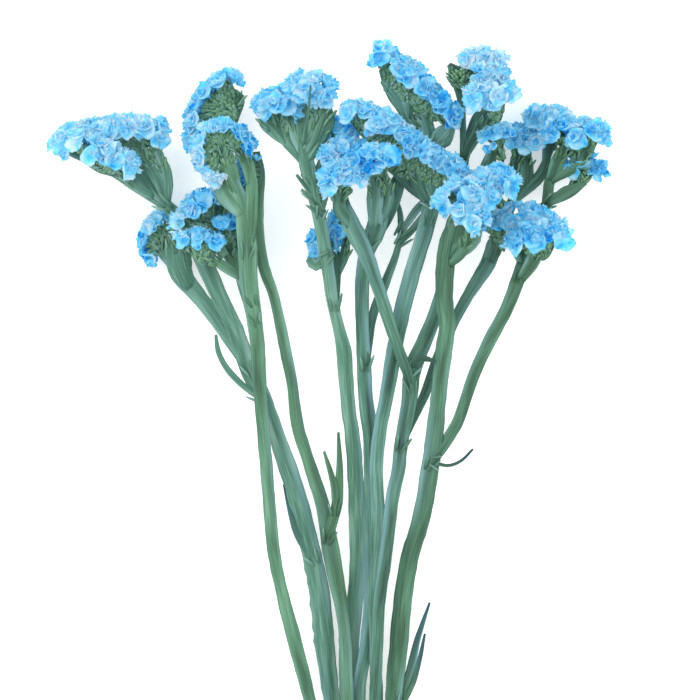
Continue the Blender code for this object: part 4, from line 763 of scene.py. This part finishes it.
def grow_spikelets(body, spike, tone, rng):
    """The scaly green part of a spike: layers of bracts, from a slim axis up round the calyces' tubes."""
    count = max(3, round(spike.length / BRACT_SPACING))
    line, roots, tops = [], [], []
    for k in range(count + 1):
        share = k / count
        place, along, out = spike.at(spike.length * share)
        across = np.cross(along, out)
        depth = spike.depth(share)
        root = place - out * depth + along * BRACT_SLANT * depth * (1 - share)
        line.append((*root, AXIS_WIDTH))
        roots.append(root)
        tops.append(place + out * CORE_ABOVE)
        rise = unit(place - root)
        cover = depth + BRACT_COVER
        layers = max(2, round(cover / BRACT_LAYER) - 1)
        for layer in range(layers):
            up = layer / layers
            for side in (-1, 0, 1):
                if side == 0 and layer % 3:
                    continue
                swell = 0.4 + 1.5 * up
                foot = (root + rise * cover * up * BRACT_REACH + across * side * swell
                        + along * rng.uniform(-0.8, 0.8))
                axis = rise + across * (side * rng.uniform(0.1, 0.4) + rng.uniform(-0.12, 0.12))
                axis = axis + along * rng.uniform(-0.35, 0.35)
                outward = across * side * 1.4 - along * rng.uniform(-0.5, 0.5) + UP * (side == 0)
                grow_bract(body, foot, axis, outward, rng.uniform(*BRACT_LENGTH), rng.uniform(*BRACT_WIDTH),
                           rng.uniform(-0.2, 0.5), rng, tone + rng.uniform(0.1, 1.7),
                           rng.uniform(*BRACT_FRESH))
    grow_core(body, roots, tops, tone)
    grow_route(body, smooth_rows(line, AXIS_STEP), rng, tone)


def grow_rib_bracts(body, rows, tone, rng):
    """Scaly bracts on the upper part of a rib, pointing up it on both sides."""
    centres = rows[:, :3]
    run = distances(centres)
    along, right = directions(centres)
    for place in np.arange(run[-1] * RIB_BARE, run[-1], RIB_BRACT_SPACING):
        i = int(np.searchsorted(run, place))
        for side in (-1, 1):
            across = right[i] * side
            foot = centres[i] + across * rows[i, 3] * rng.uniform(0.05, 0.42) + UP * rng.uniform(0.3, 1.2)
            axis = along[i] + across * rng.uniform(0.05, 0.5) + UP * rng.uniform(0, 0.25)
            grow_bract(body, foot, axis, UP + across, rng.uniform(*RIB_BRACT_LENGTH),
                       rng.uniform(*RIB_BRACT_WIDTH), rng.uniform(0, 0.5), rng,
                       tone + rng.uniform(-0.3, 1.3), rng.uniform(0, BRACT_FRESH[1]))


def grow_nodes(body, lists, tone, rng):
    """Two small clasping bracts where each branch leaves its stem."""
    stem = smooth_rows(lists[0], STEM_STEP)[:, :3]
    for points in lists[1:]:
        route = np.array(points, float)[:, :3]
        starts, ends = (np.linalg.norm(stem - route[end], axis=1).min() for end in (0, -1))
        if starts > ends:
            route = route[::-1]
        ahead = unit(route[1] - route[0])
        for side in (-1, 1):
            outward = unit(np.cross(ahead, UP)) * side + UP * 0.6
            grow_bract(body, route[0] - ahead * 2.5 + outward * 1.3, ahead + outward * 0.15, outward,
                       rng.uniform(*NODE_BRACT_LENGTH), rng.uniform(*NODE_BRACT_WIDTH),
                       rng.uniform(0.2, 1.2), rng, tone + 0.2, 0.3)


def node_of(tree, kind, **values):
    node = tree.nodes.new(kind)
    for key, value in values.items():
        setattr(node, key, value)
    return node


def attribute(tree, name, output="Fac"):
    """One of the things that a mesh carries for its material."""
    node = node_of(tree, "ShaderNodeAttribute", attribute_type="GEOMETRY", attribute_name=name)
    return node.outputs[output]


def noise_on(tree, vector, stretch, detail=3.0, scale=1.0):
    """Noise on a vector that is stretched along one direction."""
    spread = node_of(tree, "ShaderNodeVectorMath", operation="MULTIPLY")
    tree.links.new(vector, spread.inputs[0])
    spread.inputs[1].default_value = stretch
    noise = node_of(tree, "ShaderNodeTexNoise")
    noise.inputs["Scale"].default_value = scale
    noise.inputs["Detail"].default_value = detail
    tree.links.new(spread.outputs[0], noise.inputs["Vector"])
    return noise.outputs["Fac"]


def ramp_of(tree, factor, stops):
    ramp = node_of(tree, "ShaderNodeValToRGB")
    marks = ramp.color_ramp.elements
    while len(marks) < len(stops):
        marks.new(0.5)
    for mark, (position, colour) in zip(marks, stops):
        mark.position = position
        mark.color = (*colour, 1)
    tree.links.new(factor, ramp.inputs["Fac"])
    return ramp.outputs["Color"]


def maths(tree, operation, *values):
    node = node_of(tree, "ShaderNodeMath", operation=operation)
    for socket, value in zip(node.inputs, values):
        if isinstance(value, (int, float)):
            socket.default_value = value
        else:
            tree.links.new(value, socket)
    return node.outputs[0]


def weighted(tree, total, *parts):
    """A number and some values, each times its weight, added up."""
    for value, weight in parts:
        total = maths(tree, "MULTIPLY_ADD", value, weight, total)
    return total


def mixed(tree, factor, first, second, most=1.0):
    """The first colour mixed with a constant one, by a factor that is held between 0 and the most."""
    node = node_of(tree, "ShaderNodeMix", data_type="RGBA")
    start, end = (socket for socket in node.inputs if socket.type == "RGBA")
    held = maths(tree, "MINIMUM", maths(tree, "MAXIMUM", factor, 0.0), most)
    tree.links.new(held, node.inputs[0])
    tree.links.new(first, start)
    end.default_value = (*second, 1)
    return next(socket for socket in node.outputs if socket.type == "RGBA")


def start_material(name, roughness, shine=None):
    material = bpy.data.materials.new(name)
    material.use_nodes = True
    tree = material.node_tree
    shader = tree.nodes["Principled BSDF"]
    shader.inputs["Roughness"].default_value = roughness
    if shine is not None:
        shader.inputs["Specular IOR Level"].default_value = shine
    return material, tree, shader


def bumped(tree, shader, height, strength, distance):
    bump = node_of(tree, "ShaderNodeBump")
    bump.inputs["Strength"].default_value = strength
    bump.inputs["Distance"].default_value = distance
    tree.links.new(height, bump.inputs["Height"])
    tree.links.new(bump.outputs["Normal"], shader.inputs["Normal"])
    return bump.outputs["Normal"]


def green_material():
    """Dry, fibrous grey-green: fine streaks, blue-grey bloom on the wings, and darker and fresher patches."""
    material, tree, shader = start_material("dry_statice_green", 0.68, 0.3)
    grain = attribute(tree, "grain", "Vector")
    tone, tip, fresh = (attribute(tree, name) for name in ("tone", "tip", "fresh"))
    fibres = noise_on(tree, grain, (2.6, 0.06, 1.0), 4.0)
    blotches = noise_on(tree, grain, (0.28, 0.03, 1.0), 2.0)
    specks = noise_on(tree, grain, (1.3, 0.9, 1.0))
    level = weighted(tree, -0.38, (fibres, 0.7), (blotches, 0.8), (tone, 0.13), (tip, 0.3))
    colour = ramp_of(tree, level, [(0.2, STEM_DARK), (0.48, STEM_MID), (0.8, STEM_LIGHT)])
    bloom = weighted(tree, -2.5, (noise_on(tree, grain, (0.2, 0.015, 1.0), 1.0), 5.0))
    bloom = maths(tree, "MULTIPLY", bloom, maths(tree, "MULTIPLY", tip, 2.2))
    colour = mixed(tree, bloom, colour, STEM_COOL, 0.75)
    colour = mixed(tree, maths(tree, "MULTIPLY", fresh, blotches), colour, STEM_FRESH)
    colour = mixed(tree, maths(tree, "MULTIPLY", fresh, -1.0), colour, STEM_DUSK)
    dry = maths(tree, "SMOOTH_MAX", maths(tree, "SUBTRACT", tip, 0.5), 0.0, 0.1)
    colour = mixed(tree, maths(tree, "MULTIPLY", dry, specks), colour, BRACT_TIP)
    tree.links.new(colour, shader.inputs["Base Color"])
    bumped(tree, shader, fibres, 0.5, 0.0004)
    return material


def blue_material():
    """Thin papery limb: green-blue in the throat, paler and whiter in patches, with light coming through and
    a faint painted glow.
    """
    material, tree, shader = start_material("papery_blue_calyx", 0.75, 0.2)
    grain = attribute(tree, "grain", "Vector")
    tone, tip = (attribute(tree, name) for name in ("tone", "tip"))
    veins = noise_on(tree, grain, (1.4, 1.4, 0.5))
    patches = noise_on(tree, grain, (0.2, 0.2, 0.2), 2.0)
    level = weighted(tree, -0.62, (tip, 0.26), (patches, 1.6), (veins, 0.35), (tone, -0.3))
    colour = ramp_of(tree, level, [(0.12, BLUE_DEEP), (0.4, BLUE_BASE), (0.62, BLUE_PALE), (0.9, BLUE_WHITE)])
    colour = mixed(tree, weighted(tree, 1.0, (tip, -3.0)), colour, THROAT)
    tree.links.new(colour, shader.inputs["Base Color"])
    # Painted light: the calyx colour also glows faintly, standing in for more light falling on it
    tree.links.new(colour, shader.inputs["Emission Color"])
    shader.inputs["Emission Strength"].default_value = PAINTED_PETAL_GLOW
    normal = bumped(tree, shader, veins, 0.4, 0.0004)
    through = node_of(tree, "ShaderNodeBsdfTranslucent")
    tree.links.new(colour, through.inputs["Color"])
    tree.links.new(normal, through.inputs["Normal"])
    both = node_of(tree, "ShaderNodeMixShader")
    both.inputs[0].default_value = LIGHT_THROUGH
    tree.links.new(shader.outputs[0], both.inputs[1])
    tree.links.new(through.outputs[0], both.inputs[2])
    tree.links.new(both.outputs[0], tree.nodes["Material Output"].inputs["Surface"])
    return material


def band_material():
    """Natural rubber: tan, slightly mottled and dusty."""
    material, tree, shader = start_material("natural_rubber", 0.55)
    place = node_of(tree, "ShaderNodeTexCoord").outputs["Object"]
    mottle = noise_on(tree, place, (1.0, 1.0, 1.0), 4.0, 420.0)
    colour = ramp_of(tree, mottle, [(0.3, RUBBER_DARK), (0.7, RUBBER_LIGHT)])
    tree.links.new(colour, shader.inputs["Base Color"])
    bumped(tree, shader, mottle, 0.3, 0.0002)
    return material


def add_camera():
    data = bpy.data.cameras.new("camera")
    data.sensor_width = SENSOR
    data.lens = SENSOR * (CAMERA_HEIGHT / MM - PHOTO_CENTRE[2]) / (PIXEL * PHOTO_WIDTH)
    data.clip_end = 100
    camera = add_object("camera", data)
    camera.location = (PHOTO_CENTRE[0] * MM + ORIGIN[0], PHOTO_CENTRE[1] * MM + ORIGIN[1], CAMERA_HEIGHT)
    bpy.context.scene.camera = camera


def add_surroundings():
    """A plain pale floor, a pale sky all round and soft lights."""
    mesh = bpy.data.meshes.new("floor")
    corners = [(x * FLOOR_REACH, y * FLOOR_REACH, -FLOOR_DROP)
               for x, y in ((-1, -1), (1, -1), (1, 1), (-1, 1))]
    mesh.from_pydata(corners, [], [(0, 1, 2, 3)])
    material, _, shader = start_material("pale_floor", 0.9)
    shader.inputs["Base Color"].default_value = (FLOOR_WHITE, FLOOR_WHITE, FLOOR_WHITE, 1)
    shader.inputs["Emission Color"].default_value = (1, 1, 1, 1)
    shader.inputs["Emission Strength"].default_value = FLOOR_GLOW
    mesh.materials.append(material)
    floor = add_object("floor", mesh)
    world = bpy.data.worlds.new("pale_sky")
    world.use_nodes = True
    sky = world.node_tree.nodes["Background"].inputs
    sky["Color"].default_value = (1, 1, 1, 1)
    sky["Strength"].default_value = SKY_STRENGTH
    bpy.context.scene.world = world
    for name, (place, size, power) in LIGHTS.items():
        data = bpy.data.lights.new(name, "AREA")
        data.size = size
        data.energy = power
        light = add_object(name, data)
        light.location = place
        light.rotation_euler = (Vector(LIGHTS_AIM) - Vector(place)).to_track_quat("-Z", "Y").to_euler()


def grow_stem(node, routes, spikes, material, rng):
    """One stem with all that is green on it, in place of its solid."""
    body = Growth()
    tone, fresh = STEM_SHADES[node]
    for k, route in enumerate(routes):
        teeth = TEETH.get(node) if k == 0 else None
        grow_route(body, route, rng, tone, fresh, teeth, float((node, k) in DARK_LEAVES))
        if k >= len(STEMS[node]) and route[:, 3].max() > SLIM_WING:
            grow_rib_bracts(body, route, tone, rng)
    grow_nodes(body, STEMS[node], tone, rng)
    for owner, centre, axis, radius in BUDS:
        if owner == node:
            grow_bud(body, centre, axis, radius, tone, rng)
    for spike in spikes.values():
        if spike.stem == node:
            grow_spikelets(body, spike, tone, rng)
    body.build(node + "_fine", material, [node])


def main():
    add_camera()
    add_surroundings()
    green = green_material()
    blue = blue_material()
    spikes = {f"spike_{number:02}": Spike(*row) for number, *row in SPIKES}
    rows = stem_rows(spikes)
    for index, (node, routes) in enumerate(rows.items()):
        grow_stem(node, routes, spikes, green, np.random.default_rng(SEED + index))
    for index, (name, spike) in enumerate(spikes.items()):
        body = Growth()
        grow_calyces(body, spike, rows, np.random.default_rng(SEED * 100 + index))
        body.build(name + "_calyces", blue, [name])
    tie = frame["nodes"]["tie"]
    tie.data.materials.clear()
    tie.data.materials.append(band_material())


bpy.context.scene.view_settings.view_transform = "Standard"
main()
